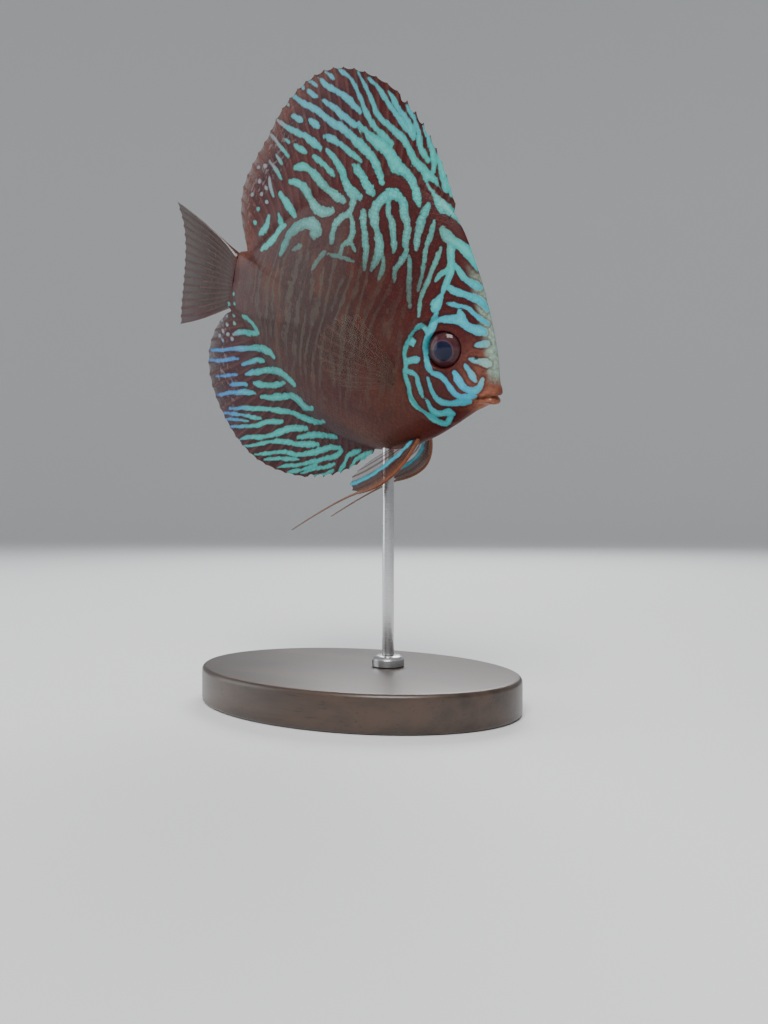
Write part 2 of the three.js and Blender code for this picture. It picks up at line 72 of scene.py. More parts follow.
# Where each fin grows from, inside the body, and where its rays end.
DORSAL_ROOT = [
    (28, 43.5), (18, 47.6), (6, 49.4), (-6, 47.2), (-18, 41.4), (-30, 32.6), (-41, 22), (-49, 13.4),
    (-54.5, 9),
]
DORSAL_MARGIN = [
    (28, 48), (21.5, 56), (12.5, 65), (2, 72.6), (-9, 76.8), (-21, 77.9), (-32, 75.6), (-42, 69.4),
    (-49.5, 60.5), (-54, 51), (-58.5, 42), (-61.6, 33), (-61.4, 25), (-58.6, 17.2), (-55.4, 11.6),
]
ANAL_ROOT = [
    (17.5, -34.5), (8, -36), (-4, -36.2), (-16, -33.4), (-28, -27.8), (-39, -20.4), (-48, -13.4), (-55, -9),
]
ANAL_MARGIN = [
    (18, -38.4), (11, -46.4), (2, -54), (-9, -59.6), (-21, -62.4), (-33, -62.4), (-44, -59.6), (-54, -54.6),
    (-62, -48), (-67.4, -40), (-69.4, -31), (-67.6, -22), (-63.4, -15), (-59, -11.4),
]
TAIL_ROOT = [(-57.8, 8.2), (-58.4, 0), (-58, -9.2)]
TAIL_MARGIN = [(-97, 19.2), (-92.5, 12.5), (-90, 5), (-89, -3), (-88.6, -11), (-88.4, -19), (-87.6, -26)]

# The free edge of the gill cover, from its top round to the throat.
GILL_EDGE = [
    (34.5, 15), (31, 11.6), (28.2, 6), (27.6, 0), (28.6, -6), (31.2, -11.4), (35.4, -15), (41, -17),
    (47, -17.6),
]
CHEEK_EDGE = [(34.4, 8), (35.2, 1), (36.2, -4.6), (38.4, -9.6), (41.6, -13), (46, -14.2)]

# Turquoise stripes, placed one by one: width at each end and the points of the middle line, in millimetres.
# Each group is read on a plane that far to the side of the middle of the fish.
STRIPES = {
    "dorsal fin": (0.5, [
        ((1.0, 1.8), (-25.6, 76.7), (-20, 74.9), (-15.3, 70.7), (-10.2, 65), (-6, 62.3), (0.5, 59.5)),
        ((0.9, 2.4), (-17, 77), (-14.9, 75.1), (-10.7, 70.7), (-7, 66.5), (-1.3, 63.9), (5, 61.2),
         (8.5, 57.8), (12, 55.5), (18, 53)),
        ((0.8, 2.0), (-13, 76), (-9.3, 74.6), (-5, 71.4), (-1.8, 68.8), (2.9, 66), (8, 62.6)),
        ((0.8, 2.2), (-4.6, 73.6), (0, 69.9), (5, 66.2), (8, 63.2)),
        ((0.8, 2.2), (2.5, 71.1), (6, 68.2), (9, 64.5), (11, 60.6), (15, 57.6)),
        ((0.9, 2.0), (10, 66.6), (13.5, 62.8), (16, 59.5), (18, 55)),
        ((1.6, 2.6), (17.5, 60), (20, 57), (22, 54), (23.8, 51)),
        ((1.4, 2.0), (23.5, 53.6), (25.5, 51), (28, 47.6)),
        ((2.0, 4.6), (-14, 62.4), (-9.3, 60), (-4.6, 58.5), (-0.9, 57.1), (2.6, 54.8), (5, 52.6)),
        ((4.2, 2.6), (3, 53), (8, 52.8), (11.4, 50.8), (13.5, 47.5), (15.2, 44.8)),
        ((3.2, 3.8), (14, 54), (17.5, 52.4), (20.5, 49.6), (23, 47), (27, 45.6)),
        ((3.2, 2.6), (25, 46.6), (28, 45.5), (31, 43.8), (34, 41.6)),
        ((1.4, 3.0), (-45.7, 66.4), (-40, 64.3), (-34, 63.6), (-29.3, 62.5), (-24.7, 60.9), (-20, 60),
         (-15.3, 58.1), (-10.7, 56.2), (-6, 53.9), (-3.2, 51.1), (-0.4, 47.8)),
        ((1.6, 2.0), (-30.3, 66.6), (-25.6, 65.5), (-21, 63.9), (-15, 61.9)),
        ((1.0, 2.1), (-34, 72.9), (-29.3, 71.1), (-24.7, 70.3), (-20, 69), (-14, 66)),
        ((0.9, 1.2), (-38.7, 68.3), (-33, 67.2)),
        ((0.7, 0.9), (-39.6, 71.8), (-34, 70.4)),
        ((0.7, 0.9), (-43, 69.8), (-39.6, 68.6)),
        ((0.7, 0.9), (-31, 75), (-26.5, 73.6)),
        ((0.7, 0.9), (-49.4, 63.7), (-45.7, 62.4)),
        ((1.7, 1.7), (-43, 59.6), (-38.4, 59)),
        ((1.8, 1.6), (-35, 59.7), (-30, 58.7)),
        ((2.0, 1.2), (-27, 56.3), (-22.3, 55.8), (-16.3, 54), (-10.4, 52.1)),
        ((0.9, 2.5), (-50.3, 57.1), (-45.7, 55.8), (-41, 55.3), (-35.9, 54.6), (-31.7, 53.6), (-28, 52.4)),
        ((0.9, 0.9), (-44.7, 52), (-42.4, 51.3)),
        ((1.7, 1.5), (-40, 50.8), (-34, 49.8)),
        ((1.6, 1.6), (-30.4, 49.3), (-25.6, 47.8), (-20.4, 45.4)),
        ((1.8, 3.2), (-25, 52.3), (-21, 50.1), (-17.7, 47.8), (-15.3, 44.6), (-12.2, 42.2), (-8, 41.4)),
        ((2.2, 2.0), (-11.4, 42), (-10.4, 39.2), (-11, 36.8)),
        ((2.2, 3.2), (-13.2, 50.2), (-9.7, 48.3), (-6, 45.5), (-3.4, 43.8)),
        ((2.2, 2.8), (-38, 44), (-34, 45.3), (-29.3, 44), (-24.7, 41.7), (-20, 39.9), (-14.6, 38.7)),
        ((2.2, 3.4), (-39, 39.4), (-35.9, 39.6), (-32, 38.6), (-29, 36), (-25.6, 33.7), (-21.9, 33.3),
         (-18.8, 34.5)),
        ((2.2, 2.8), (-43, 34.5), (-39.6, 32.4), (-34.6, 29)),
        ((0.8, 1.3), (-52.7, 52.4), (-47, 49.4), (-41.8, 46.9)),
        ((0.8, 1.0), (-48, 46.2), (-44.3, 44)),
        ((0.8, 1.2), (-50.8, 43.6), (-47, 41.7), (-43.5, 39.2)),
        ((0.9, 1.3), (-49.4, 38.5), (-48, 35.2), (-45.9, 32.9)),
        ((1.6, 2.0), (-42.2, 27.6), (-40.2, 24.4), (-41.5, 21.2), (-44, 17.6), (-47.6, 13.8)),
        ((1.4, 1.6), (-38.4, 24.9), (-40.4, 23)),
        ((1.8, 2.2), (-46.8, 25.6), (-46.7, 23), (-49.6, 19)),
    ]),
    "back": (6.0, [
        ((1.8, 4.2), (-33.5, 16), (-31.8, 20.4), (-30.6, 23.8), (-28, 26.6), (-24.3, 28.9), (-20, 29.2),
         (-18, 27.6)),
        ((3.4, 3.4), (-19, 26.6), (-21, 26.4)),
        ((1.4, 1.8), (-28, 19.2), (-25, 21.4)),
        ((1.2, 1.6), (-18.4, 15), (-16.3, 19), (-14, 22.4)),
        ((2.0, 2.2), (-6.2, 39), (-7.2, 36.2), (-9.8, 34.4), (-11.7, 31.7), (-12.2, 29), (-12.1, 25.7)),
        ((1.8, 1.4), (-6.6, 36.6), (-4.9, 34), (-4.2, 30), (-5.6, 27.6), (-7.2, 25.8), (-7.2, 22)),
        ((1.2, 0.9), (-4.4, 28.4), (-1.6, 25.8)),
        ((0.9, 0.9), (-13, 22), (-7, 22.4), (-1.4, 22.6)),
        ((2.8, 1.6), (-1.5, 38.4), (-0.5, 35), (1.4, 30.3), (2.8, 26.1), (3.4, 21.5)),
        ((2.0, 3.6), (6.2, 22), (7.5, 26.1), (7.5, 29.9), (5.6, 33.6)),
        ((3.6, 2.4), (5.6, 33.6), (3.4, 37), (3, 40.4), (5.3, 44), (9.3, 46), (12.6, 44.8), (14.5, 41.1),
         (16.6, 38), (16.9, 34.5), (18, 30.8)),
        ((2.0, 1.4), (18, 30.8), (17.1, 27.8), (15.4, 24.7), (15.9, 21)),
        ((1.8, 2.2), (7.7, 44), (8.6, 40.1), (10.7, 37.3), (12.1, 34.1), (13.5, 29.9)),
        ((2.8, 2.2), (22.6, 45.6), (21.2, 41.5), (21, 37.3), (21.5, 32.9)),
        ((1.5, 1.1), (25.7, 42), (25.7, 38.3), (25, 34.5), (25.2, 29.9), (25.7, 25.7), (25.4, 21)),
        ((1.5, 1.2), (30.3, 35), (29.4, 30.8), (28.5, 26.1), (27.5, 21.5), (27.1, 17.7), (27.8, 13.5)),
        ((1.6, 1.6), (19.6, 29.4), (21, 25.2), (21.9, 20.5), (23.8, 15.4)),
        ((1.6, 1.2), (10, 27), (10.6, 23.3), (9.8, 19.8)),
    ]),
    "face": (7.0, [
        ((3.2, 2.6), (29.8, 40.6), (33.4, 38.6), (37.9, 37.7), (42, 35.8), (45, 33.2)),
        ((3.0, 1.6), (33.8, 37.6), (35.3, 33.2), (36, 29.7), (35.5, 25.9), (34.9, 22.6)),
        ((1.8, 3.6), (34.9, 22.6), (34, 19.4), (33.2, 17.4)),
        ((2.4, 1.7), (34.6, 16.6), (34.4, 14.7), (34, 11.2), (33.3, 7.7), (34, 4.1), (35.7, 0.2),
         (37.9, -1.6)),
        ((2.0, 1.2), (33.4, 19.6), (31.8, 18.6)),
        ((1.6, 1.0), (35.3, 30.1), (32.7, 27.9), (31.5, 25.7)),
        ((1.5, 2.0), (36.4, 32.4), (38.8, 31), (41, 29.4), (44.5, 28.5), (47.6, 28.2)),
        ((1.9, 1.9), (35.5, 25.3), (38.8, 24.7), (43.7, 24.8), (49, 24.4), (51.4, 22.6)),
        ((1.0, 1.3), (37.5, 20.5), (41, 20.9), (45, 21.3), (48, 20.1), (53, 19)),
        ((2.2, 2.8), (36.2, 15), (39, 16), (43.2, 17), (47, 16), (52.5, 16.3)),
        ((2.6, 2.2), (42.4, 19.4), (44, 17.4)),
        ((0.9, 2.0), (50.4, 11.6), (54.6, 13.6)),
        ((1.0, 2.2), (49.8, 7), (53.3, 7.4), (56.8, 8)),
        ((1.6, 1.8), (48.9, 4.6), (51.1, 3.2), (53.4, 1.5)),
        ((2.4, 1.6), (45.6, 1.4), (47.6, -0.3), (50.7, -2), (53.8, -1.7), (55.5, 0.2), (55.8, 2.6)),
        ((1.6, 1.6), (37.9, -1.6), (41, -1.3), (43.7, -2.5), (46.7, -4.5), (49.8, -5.1), (52.8, -4),
         (55, -3)),
        ((1.2, 1.8), (36.8, -3.6), (39.3, -6.9), (42.3, -9), (46.3, -8.6), (49.8, -6.9), (53.6, -5.2)),
        ((1.4, 2.0), (38.2, -10.4), (41, -12.8), (43.7, -13), (46.3, -11.5), (49, -11)),
        ((1.5, 1.6), (38.8, -14.6), (42.8, -15.4), (47.2, -14.9), (48.3, -12.4)),
        ((1.4, 1.4), (28.5, 10.1), (30.4, 11.3), (33.5, 9.6)),
        ((1.1, 1.6), (28.4, 9.6), (26.6, 5.6), (26.2, 1), (27.6, -2.5), (28.2, -5.6), (30.4, -8.4),
         (31.8, -11.2), (34.4, -13.6), (38.3, -14.4)),
        ((3.0, 3.2), (28.6, 5.8), (27.8, 5.2)),
        ((1.4, 2.2), (27.4, -1.4), (29.4, -0.2), (31.8, 0.8)),
        ((1.4, 1.3), (28.2, -4.2), (32.2, -4.3), (34, -6.9), (36.6, -10)),
    ]),
    "anal fin": (1.0, [
        ((0.8, 2.4), (-67.2, -29.9), (-60.2, -27.4), (-53.8, -24.8), (-47.4, -22.4), (-41, -20.2),
         (-35.9, -20.2), (-33.4, -21.2)),
        ((1.0, 1.4), (-66.9, -33.8), (-61.5, -32.2), (-58.3, -30.9), (-54.4, -29), (-51.2, -27.8)),
        ((1.4, 1.7), (-48.7, -29.3), (-44.8, -27), (-41, -24.8), (-38.2, -24.3)),
        ((1.6, 2.4), (-46.1, -32.2), (-41, -29.6), (-35.9, -27), (-30.8, -25.6), (-25, -26.4),
         (-22, -27.6)),
        ((2.0, 1.6), (-41, -34), (-35.9, -32.8), (-30.8, -30.9), (-26.5, -28.6)),
        ((1.8, 2.6), (-36.5, -37.6), (-31.4, -36), (-25.6, -33.4), (-21.2, -31.8), (-18, -32.8),
         (-14.6, -33.8), (-12, -33.1)),
        ((0.8, 1.2), (-62.4, -38.9), (-57, -36.6), (-50.6, -34)),
        ((1.0, 1.4), (-53.8, -39.2), (-48.7, -37), (-44.8, -35.7)),
        ((0.8, 1.9), (-60.8, -46.2), (-54.4, -42.7), (-47.4, -39.8), (-39.9, -37.5)),
        ((1.2, 2.0), (-51.9, -48.2), (-45.5, -45.6), (-38.4, -43), (-32, -40.9), (-25.6, -39.2),
         (-20.5, -38), (-15.4, -37.8), (-9, -37), (-5.4, -35.6)),
        ((0.7, 1.3), (-57, -52), (-51.2, -50), (-45.5, -48.2), (-39.7, -46.9), (-35, -45.8)),
        ((0.6, 0.8), (-54.4, -53.6), (-47.4, -51), (-41, -49)),
        ((0.7, 1.9), (-50.6, -55.2), (-43.6, -52.3), (-37.2, -49.4), (-32, -46), (-24.6, -43)),
        ((0.8, 2.6), (-44.8, -58.4), (-39.7, -55.2), (-33.3, -52.6), (-28.2, -49.8), (-24.4, -47),
         (-19.9, -43.9), (-13, -41.2)),
        ((0.8, 2.2), (-41, -59.4), (-34.6, -56.2), (-28.8, -52.8), (-23.1, -50.3), (-16.7, -48.8),
         (-11.6, -46.9), (-6.6, -44.8)),
        ((0.8, 2.2), (-34.6, -60.3), (-28.2, -57.1), (-21.8, -54), (-15.4, -52.6), (-10.3, -50.1),
         (-5.2, -46.9), (-0.7, -43.7), (3.6, -42)),
        ((0.8, 1.4), (-29.5, -60.3), (-24.4, -57.8), (-19.2, -55.8), (-14.1, -54)),
        ((1.8, 1.8), (-16, -46), (-11.6, -43.4), (-6.4, -41.1), (1, -39)),
        ((0.8, 1.6), (-23.1, -61), (-17.3, -57.8), (-12.2, -55.2), (-6.4, -51.4), (-1.3, -48.2),
         (3.2, -45), (4.6, -42.4)),
        ((0.8, 1.3), (-18, -61), (-11.6, -57.1), (-5.8, -53)),
        ((0.8, 1.3), (-12.2, -59), (-6.4, -54.8), (-0.7, -51.4), (2.5, -48.8)),
        ((0.8, 1.1), (-7.1, -58.2), (-2, -55.2), (2.5, -51.4)),
        ((0.8, 1.5), (3.8, -53.9), (6.4, -48.2), (8.3, -43), (12.6, -39.4)),
        ((0.8, 1.3), (9.6, -49.4), (11.5, -43.7), (16, -38.9)),
        ((0.7, 1.1), (14, -43), (18, -37.6)),
        ((1.2, 1.8), (-55.7, -19.7), (-51.2, -17.4), (-46.1, -16.2), (-43, -15.4)),
        ((1.0, 1.4), (-51.9, -11.4), (-47.4, -12.3), (-43, -14.8)),
    ]),
}
# Pale specks: on the clear rear of the dorsal fin, and by the root of the anal fin.
SPECKS = [
    (-52.5, 41.6), (-52.2, 32.2), (-49, 30.2), (-52.6, 27), (-53, 22), (-54.2, 36), (-55.8, 40.4),
    (-56.6, 31), (-50.4, 34.6), (-58.8, -9), (-57.3, -13), (-56.5, -15.8), (-60.4, -17.7), (-59.3, -21),
    (-62.3, -20.8), (-56.7, -21.9), (-64, -23), (-61.7, -24.1), (-61.5, -14.5), (-64, -17), (-54.6, -7.6),
    (-56.2, -4.4),
]
# Dark bars that cut across where stripes run together.
BARS = [
    (0.5, (1.6, 2.2), (1.3, 58.7), (7.6, 55.1), (14, 50.8), (17.8, 46.4)),
    (1.5, (1.8, 2.6), (17.9, 51.7), (23.3, 49.5), (30.6, 47.4)),
    (4.0, (2.0, 2.2), (29.4, 43.6), (32.7, 42.5), (38, 39.8)),
    (0.5, (1.0, 1.5), (-13.7, 61.7), (-6.8, 56.3), (-1.5, 54.4), (0.6, 51.5), (1.6, 47.5)),
]
# How far a stripe shifts for each millimetre between its plane and the surface, and how that changes
# along the fish and up it, because it is seen at a slant.
PARALLAX_U = (0.764, -0.0040)
PARALLAX_V = (0.319, -0.0040)
# How much wider than their strokes the stripes are on each edge, in millimetres.
STRIPE_SPREAD = 0.13

NOSTRIL = (50.6, 7.2)
MOUTH_LINE = [(52.4, -5.2), (55, -4.1), (57.4, -2.8), (62, -2.2)]
LATERAL_LINE = [(28, 14), (16, 25), (0, 28), (-16, 23), (-30, 13), (-44, 4), (-58, 0)]

PECTORAL_PLACE = (26, -6.5)
PECTORAL_ROOT = [(0.8, 2.6), (1, 0), (0.4, -2.8)]
PECTORAL_MARGIN = [(-17, 15.5), (-23.5, 12), (-27, 6.5), (-27.6, 0.5), (-25, -5), (-20, -8.6), (-13, -9.6)]
PECTORAL_GROUND = (0.12, 0.075, 0.055)

PELVIC_ROOT = [(36.2, -25.2), (33.6, -26.8), (30.8, -28.4)]
PELVIC_TIPS = [(22, -49.5), (19.6, -49.6), (18, -48), (18.4, -45), (20.2, -42), (22.8, -38.6)]
PELVIC_BULGE = [0.3, 0.24, 0.18, 0.12, 0.07, 0.03]
PELVIC_DARK = (0.06, 0.02, 0.012)
THREAD = [(22, -49.5), (14, -56), (-3, -75.5)]
LEAD_RADIUS = 0.62
THREAD_RADIUS = 0.2

EYE_DEPTH = 0.0034
EYE_TOE_OUT = 13

SCALE_EDGE = (0.012, 0.004, 0.004, 1)
STRIPE_SCALE_EDGE = (0.01, 0.09, 0.1, 1)
FLESH_IOR = 1.28

CAMERA_PLACE = (0.17947, -0.25904)
CAMERA_BELOW_FISH = 0.06165
CAMERA_TURN = 33
CAMERA_LENS = 32.87


# Curves and fields

def spline(points, count, closed=False, power=0.5):
    """Evenly spaced points on a smooth curve through the given ones."""
    p = np.array(points, float)
    if closed:
        p = np.vstack([p[-1:], p, p[:2]])
    else:
        p = np.vstack([2 * p[0] - p[1], p, 2 * p[-1] - p[-2]])
    out = []
    for a, b, c, d in zip(p[:-3], p[1:-2], p[2:-1], p[3:]):
        t1 = np.linalg.norm(b - a) ** power
        t2 = t1 + np.linalg.norm(c - b) ** power
        t3 = t2 + np.linalg.norm(d - c) ** power
        t = np.linspace(t1, t2, 40, endpoint=False)[:, None]
        ab = a + (b - a) * t / t1
        bc = b + (c - b) * (t - t1) / (t2 - t1)
        cd = c + (d - c) * (t - t2) / (t3 - t2)
        abc = ab + (bc - ab) * t / t2
        bcd = bc + (cd - bc) * (t - t1) / (t3 - t1)
        out.append(abc + (bcd - abc) * (t - t1) / (t2 - t1))
    fine = np.vstack(out + [p[-2:-1]])
    gone = np.concatenate([[0], np.cumsum(np.linalg.norm(np.diff(fine, axis=0), axis=1))])
    where = np.linspace(0, gone[-1], count + 1 if closed else count)
    even = np.column_stack([np.interp(where, gone, fine[:, i]) for i in range(2)])
    return even[:-1] if closed else even


def smooth(low, high, x):
    t = np.clip((x - low) / (high - low), 0, 1)
    return t * t * (3 - 2 * t)


def near(u, v, centre, radii, power=1.0):
    """A soft spot, 1 at the centre and falling away over the radii."""
    return np.exp(-(((u - centre[0]) / radii[0]) ** 2 + ((v - centre[1]) / radii[1]) ** 2) ** power)


def distance_to(path, u, v):
    """Distance to a polyline, how far along it the nearest point is, and which side of it the point is on."""
    best = np.full(u.shape, 1e9)
    along = np.zeros(u.shape)
    side = np.ones(u.shape)
    for i, (a, b) in enumerate(zip(path[:-1], path[1:])):
        d = b - a
        t = np.clip(((u - a[0]) * d[0] + (v - a[1]) * d[1]) / (d @ d), 0, 1)
        x, y = u - a[0] - d[0] * t, v - a[1] - d[1] * t
        r = np.hypot(x, y)
        closer = r < best
        best = np.where(closer, r, best)
        along = np.where(closer, (i + t) / (len(path) - 1), along)
        side = np.where(closer, np.sign(d[0] * y - d[1] * x), side)
    return best, along, side


def stripe_field(u, v, depth, wander=0.0):
    """How far each point is outside the nearest stripe, in millimetres and below 0 inside it."""

    def seen_from_front(plane):
        shift = plane - depth
        pu = u + shift * (PARALLAX_U[0] + PARALLAX_U[1] * u)
        pv = v + shift * (PARALLAX_V[0] + PARALLAX_V[1] * v)
        return pu + wander * np.sin(v / 6.3 + 1.2), pv + wander * np.sin(u / 7.1 + 0.4)

    def lay(field, pu, pv, widths, points, beat, dark=False):
        path = spline(points, 4 * len(points))
        low, high = path.min(0) - 4, path.max(0) + 4
        at = np.nonzero((pu > low[0]) & (pu < high[0]) & (pv > low[1]) & (pv < high[1]))[0]
        if len(at):
            r, t, _ = distance_to(path, pu[at], pv[at])
            taper = 0.58 + 0.42 * smooth(0, 0.14, t) * smooth(1, 0.86, t)
            swell = 1 + 0.12 * np.sin(t * len(points) * 2.4 + beat)
            inside = r - (widths[0] + (widths[1] - widths[0]) * t) / 2 * taper * swell
            field[at] = np.maximum(field[at], -inside) if dark else np.minimum(field[at], inside)

    field = np.full(u.shape, 3.0)
    for plane, strokes in STRIPES.values():
        pu, pv = seen_from_front(plane)
        for beat, (widths, *points) in enumerate(strokes):
            lay(field, pu, pv, widths, points, 1.7 * beat)
    for plane, widths, *points in BARS:
        lay(field, *seen_from_front(plane), widths, points, 0, dark=True)
    for x, z in SPECKS:
        field = np.minimum(field, np.hypot(u - x, (v - z) * 1.2) - 0.75)
    return field


# The body's surface

OUTLINE = spline(BODY_OUTLINE, 1440, closed=True) - BODY_CENTRE
TURN = np.unwrap(np.arctan2(OUTLINE[:, 1], OUTLINE[:, 0]))
REACH = np.hypot(*OUTLINE.T)


def round_interp(angle, values):
    turn = (angle - TURN[0]) % (2 * np.pi) + TURN[0]
    return np.interp(turn, np.append(TURN, TURN[0] + 2 * np.pi), np.append(values, values[0]))


EVEN_TURN = np.linspace(-np.pi, np.pi, 720, endpoint=False)
SOFT_REACH = np.real(np.fft.ifft(
    np.fft.fft(round_interp(EVEN_TURN, REACH)) * np.exp(-((np.fft.fftfreq(720) * 720 / 3.2) ** 2))
))


def soft_reach(angle):
    turn = (angle + np.pi) % (2 * np.pi) - np.pi
    return np.interp(turn, np.append(EVEN_TURN, np.pi), np.append(SOFT_REACH, SOFT_REACH[0]))


def edge_half(u, v):
    """Half the body's thickness where its surface rolls over at the outline."""
    snout = 2.3 * smooth(34, 58, u)
    peduncle = 1.3 * smooth(-40, -58, u)
    belly = 1.6 * smooth(-16, -32, v) * smooth(8, 26, u)
    return 1.35 + snout + peduncle + belly


def half_width(share, edge, widest):
    rim = edge * np.sqrt(np.maximum(0, 1 - share ** 12))
    return rim + (widest - edge) * np.maximum(0, 1 - share ** 2) ** 0.95


def reach_at(angle, share):
    soft = soft_reach(angle)
    return share * (soft + (round_interp(angle, REACH) - soft) * share ** 1.6)


def surface_half(u, v, widest):
    """Half the body's thickness at points of the side view."""
    x, z = np.asarray(u, float) - BODY_CENTRE[0], np.asarray(v, float) - BODY_CENTRE[1]
    angle, r = np.arctan2(z, x), np.hypot(x, z)
    low, high = np.zeros(r.shape), np.ones(r.shape)
    for _ in range(24):
        middle = (low + high) / 2
        inside = reach_at(angle, middle) < r
        low, high = np.where(inside, middle, low), np.where(inside, high, middle)
    share = (low + high) / 2
    edge = round_interp(angle, REACH)
    rim = edge_half(BODY_CENTRE[0] + edge * np.cos(angle), BODY_CENTRE[1] + edge * np.sin(angle))
    return half_width(share, rim, widest)


# Colours over the fish, as masks of place

def laid(first, *layers):
    """Colours laid one over another, each through its own mask."""
    out = np.tile(np.array(first[:3]), (len(layers[0][1]), 1))
    for colour, mask in layers:
        out = out * (1 - mask[:, None]) + np.array(colour[:3]) * mask[:, None]
    return out


def ground_colour(u, v, paint):
    """The fish's own ground colour, from deep red-brown to the brown flank and the pale forehead."""
    on_flank = near(u, v, (-16, 3), (34, 25), 1.6)
    edge, _, _ = distance_to(spline(DORSAL_MARGIN, 60), u, v)
    front, _, _ = distance_to(spline(BODY_OUTLINE[:7], 60), u, v)
    return laid(
        paint.ground,
        (paint.flank, np.clip(on_flank * 1.1, 0, 1)),
        (paint.warm, 0.75 * near(u, v, (26, -14), (13, 17), 1.2)),
        (paint.warm, 0.8 * near(u, v, (12, -31), (22, 5), 1.2)),
        (paint.fin_dark, smooth(-4, -26, u) * smooth(50, 62, v) * 0.75),
        (paint.fin_dark, smooth(-36, -50, u) * smooth(22, 40, v) * 0.8),
        (paint.fin_dark, smooth(-20, -30, v + 0.28 * (u + 20)) * smooth(26, 6, u) * smooth(-14, -22, v)),
        (paint.fin_rim, smooth(8, 2, edge) * smooth(-14, -34, u) * 0.9),
        (paint.snout, 0.9 * near(u, v, (53, 3), (7, 12), 1.5)),
        (paint.lip, near(u, v, (56, -4.5), (6.5, 5.5), 1.4)),
        (paint.forehead, smooth(3.0, 0.9, front) * smooth(0, 5, v) * smooth(34, 26, v)),
        (paint.tail, smooth(-56, -62, u) * smooth(30, 15, v) * smooth(-22, -12, v)),
    )


def stripe_colour(u, v, paint):
    """The stripes' own colour: cyan on the face, green on the fins, blue at their tips, grey on the back."""
    return laid(
        paint.stripe,
        (paint.stripe_face, near(u, v, (46, 8), (15, 24), 1.4)),
        (paint.stripe_back, smooth(48, 38, v) * smooth(8, 18, v) * smooth(-36, -26, u) * smooth(34, 29, u)),
        (paint.stripe_pale, smooth(-6, -24, u) * smooth(46, 62, v) * 0.8),
        (paint.stripe_pale, smooth(58, 68, v) * 0.5),
        (paint.stripe_blue, smooth(-36, -56, u) * smooth(-14, -28, v)),
        (paint.speck, smooth(-44, -50, u) * smooth(26, 32, v)),
        (paint.speck, smooth(-44, -53, u + 0.45 * (v + 20) + 6) * smooth(-6, -12, v) * smooth(-26, -22, v)),
        (paint.stripe_bright, 0.8 * near(u, v, (49, -2), (6, 5), 1.4)),
        (paint.forehead, near(u, v, (55, 8), (5, 7), 1.3) * 0.9),
    )


def stripe_strength(u, v, on_body):
    """Full on the fins and face, fading where the back's stripes run down into the flank."""
    back = smooth(34, 20, v) * smooth(-40, -30, u) * smooth(30, 26, u) * smooth(4, 12, v)
    return np.clip(1 - 0.62 * back * on_body, 0, 1)


# Meshes

def placement(fish):
    """Where the fish's own frame stands in the room."""
    nose_down = Matrix.Rotation(math.radians(fish.pitch), 4, "Y")
    leaning = Matrix.Rotation(math.radians(fish.lean), 4, "X")
    return Matrix.Translation((0, 0, fish.height)) @ (nose_down @ leaning)


def over_stand(points, fish):
    """Points of the fish's own frame, in millimetres, as metres where the fish hangs over its stand."""
    move = np.array(placement(fish))
    return (points * MM) @ move[:3, :3].T + move[:3, 3]


def move_points(piece, points, fish):
    piece.data.vertices.foreach_set("co", over_stand(points, fish).astype(np.float32).ravel())
    piece.data.update()


def new_piece(name, points, faces, fish=None):
    """A mesh from points in the fish's own millimetres, or as they are where no fish is given."""
    mesh = bpy.data.meshes.new(name)
    piece = bpy.data.objects.new(name, mesh)
    bpy.context.scene.collection.objects.link(piece)
    points = np.asarray(points, float)
    if fish is not None:
        points = over_stand(points, fish)
    mesh.from_pydata(points.tolist(), [], [tuple(int(i) for i in f) for f in faces])
    mesh.validate()
    mesh.shade_smooth()
    return piece


def put_value(piece, name, values):
    attribute = piece.data.attributes.new(name, "FLOAT", "POINT")
    attribute.data.foreach_set("value", np.asarray(values, np.float32))


def put_colour(piece, name, values):
    flat = np.column_stack([values, np.ones(len(values))]).astype(np.float32).ravel()
    piece.data.attributes.new(name, "FLOAT_COLOR", "POINT").data.foreach_set("color", flat)


def put_place(piece, points):
    """The point's place in the fish's own frame, in millimetres, for patterns that follow the fish."""
    place = piece.data.attributes.new("place", "FLOAT_VECTOR", "POINT")
    place.data.foreach_set("vector", np.asarray(points, np.float32).ravel())


def paint_piece(piece, points, depth, paint, on_body, wander=None):
    u, w, v = points.T
    field = stripe_field(u, v, depth)
    if wander is not None:
        field = np.where(w > 0, stripe_field(u, v, depth, wander), field)
    put_value(piece, "stripe", field)
    put_value(piece, "strength", stripe_strength(u, v, on_body))
    put_colour(piece, "ground", ground_colour(u, v, paint))
    put_colour(piece, "tint", stripe_colour(u, v, paint))
    put_place(piece, points)


def grid_faces(rows, columns, wrap):
    """Quads of a grid of rows by columns of points, closed round its rows where wrap is set."""
    r, c = np.meshgrid(np.arange(rows - 1), np.arange(columns if wrap else columns - 1), indexing="ij")
    following = (c + 1) % columns
    a, b = r * columns + c, r * columns + following
    return np.stack([a, b, b + columns, a + columns], -1).reshape(-1, 4)


def finish_piece(piece, material, slot_name, *nodes):
    piece.data.materials.clear()
    piece.data.materials.append(material)
    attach(piece, "root")
    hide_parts(*nodes)


def only(piece):
    bpy.ops.object.select_all(action="DESELECT")
    piece.select_set(True)
    bpy.context.view_layer.objects.active = piece


# Shader maths

class Wire:
    """A socket, or what a sum of sockets gives, inside one material."""

    def __init__(self, shop, socket):
        self.shop, self.socket = shop, socket

    def __add__(self, other):
        return self.shop.math("ADD", self, other)

    def __sub__(self, other):
        return self.shop.math("SUBTRACT", self, other)

    def __rsub__(self, other):
        return self.shop.math("SUBTRACT", other, self)

    def __mul__(self, other):
        return self.shop.math("MULTIPLY", self, other)

    __radd__ = __add__
    __rmul__ = __mul__


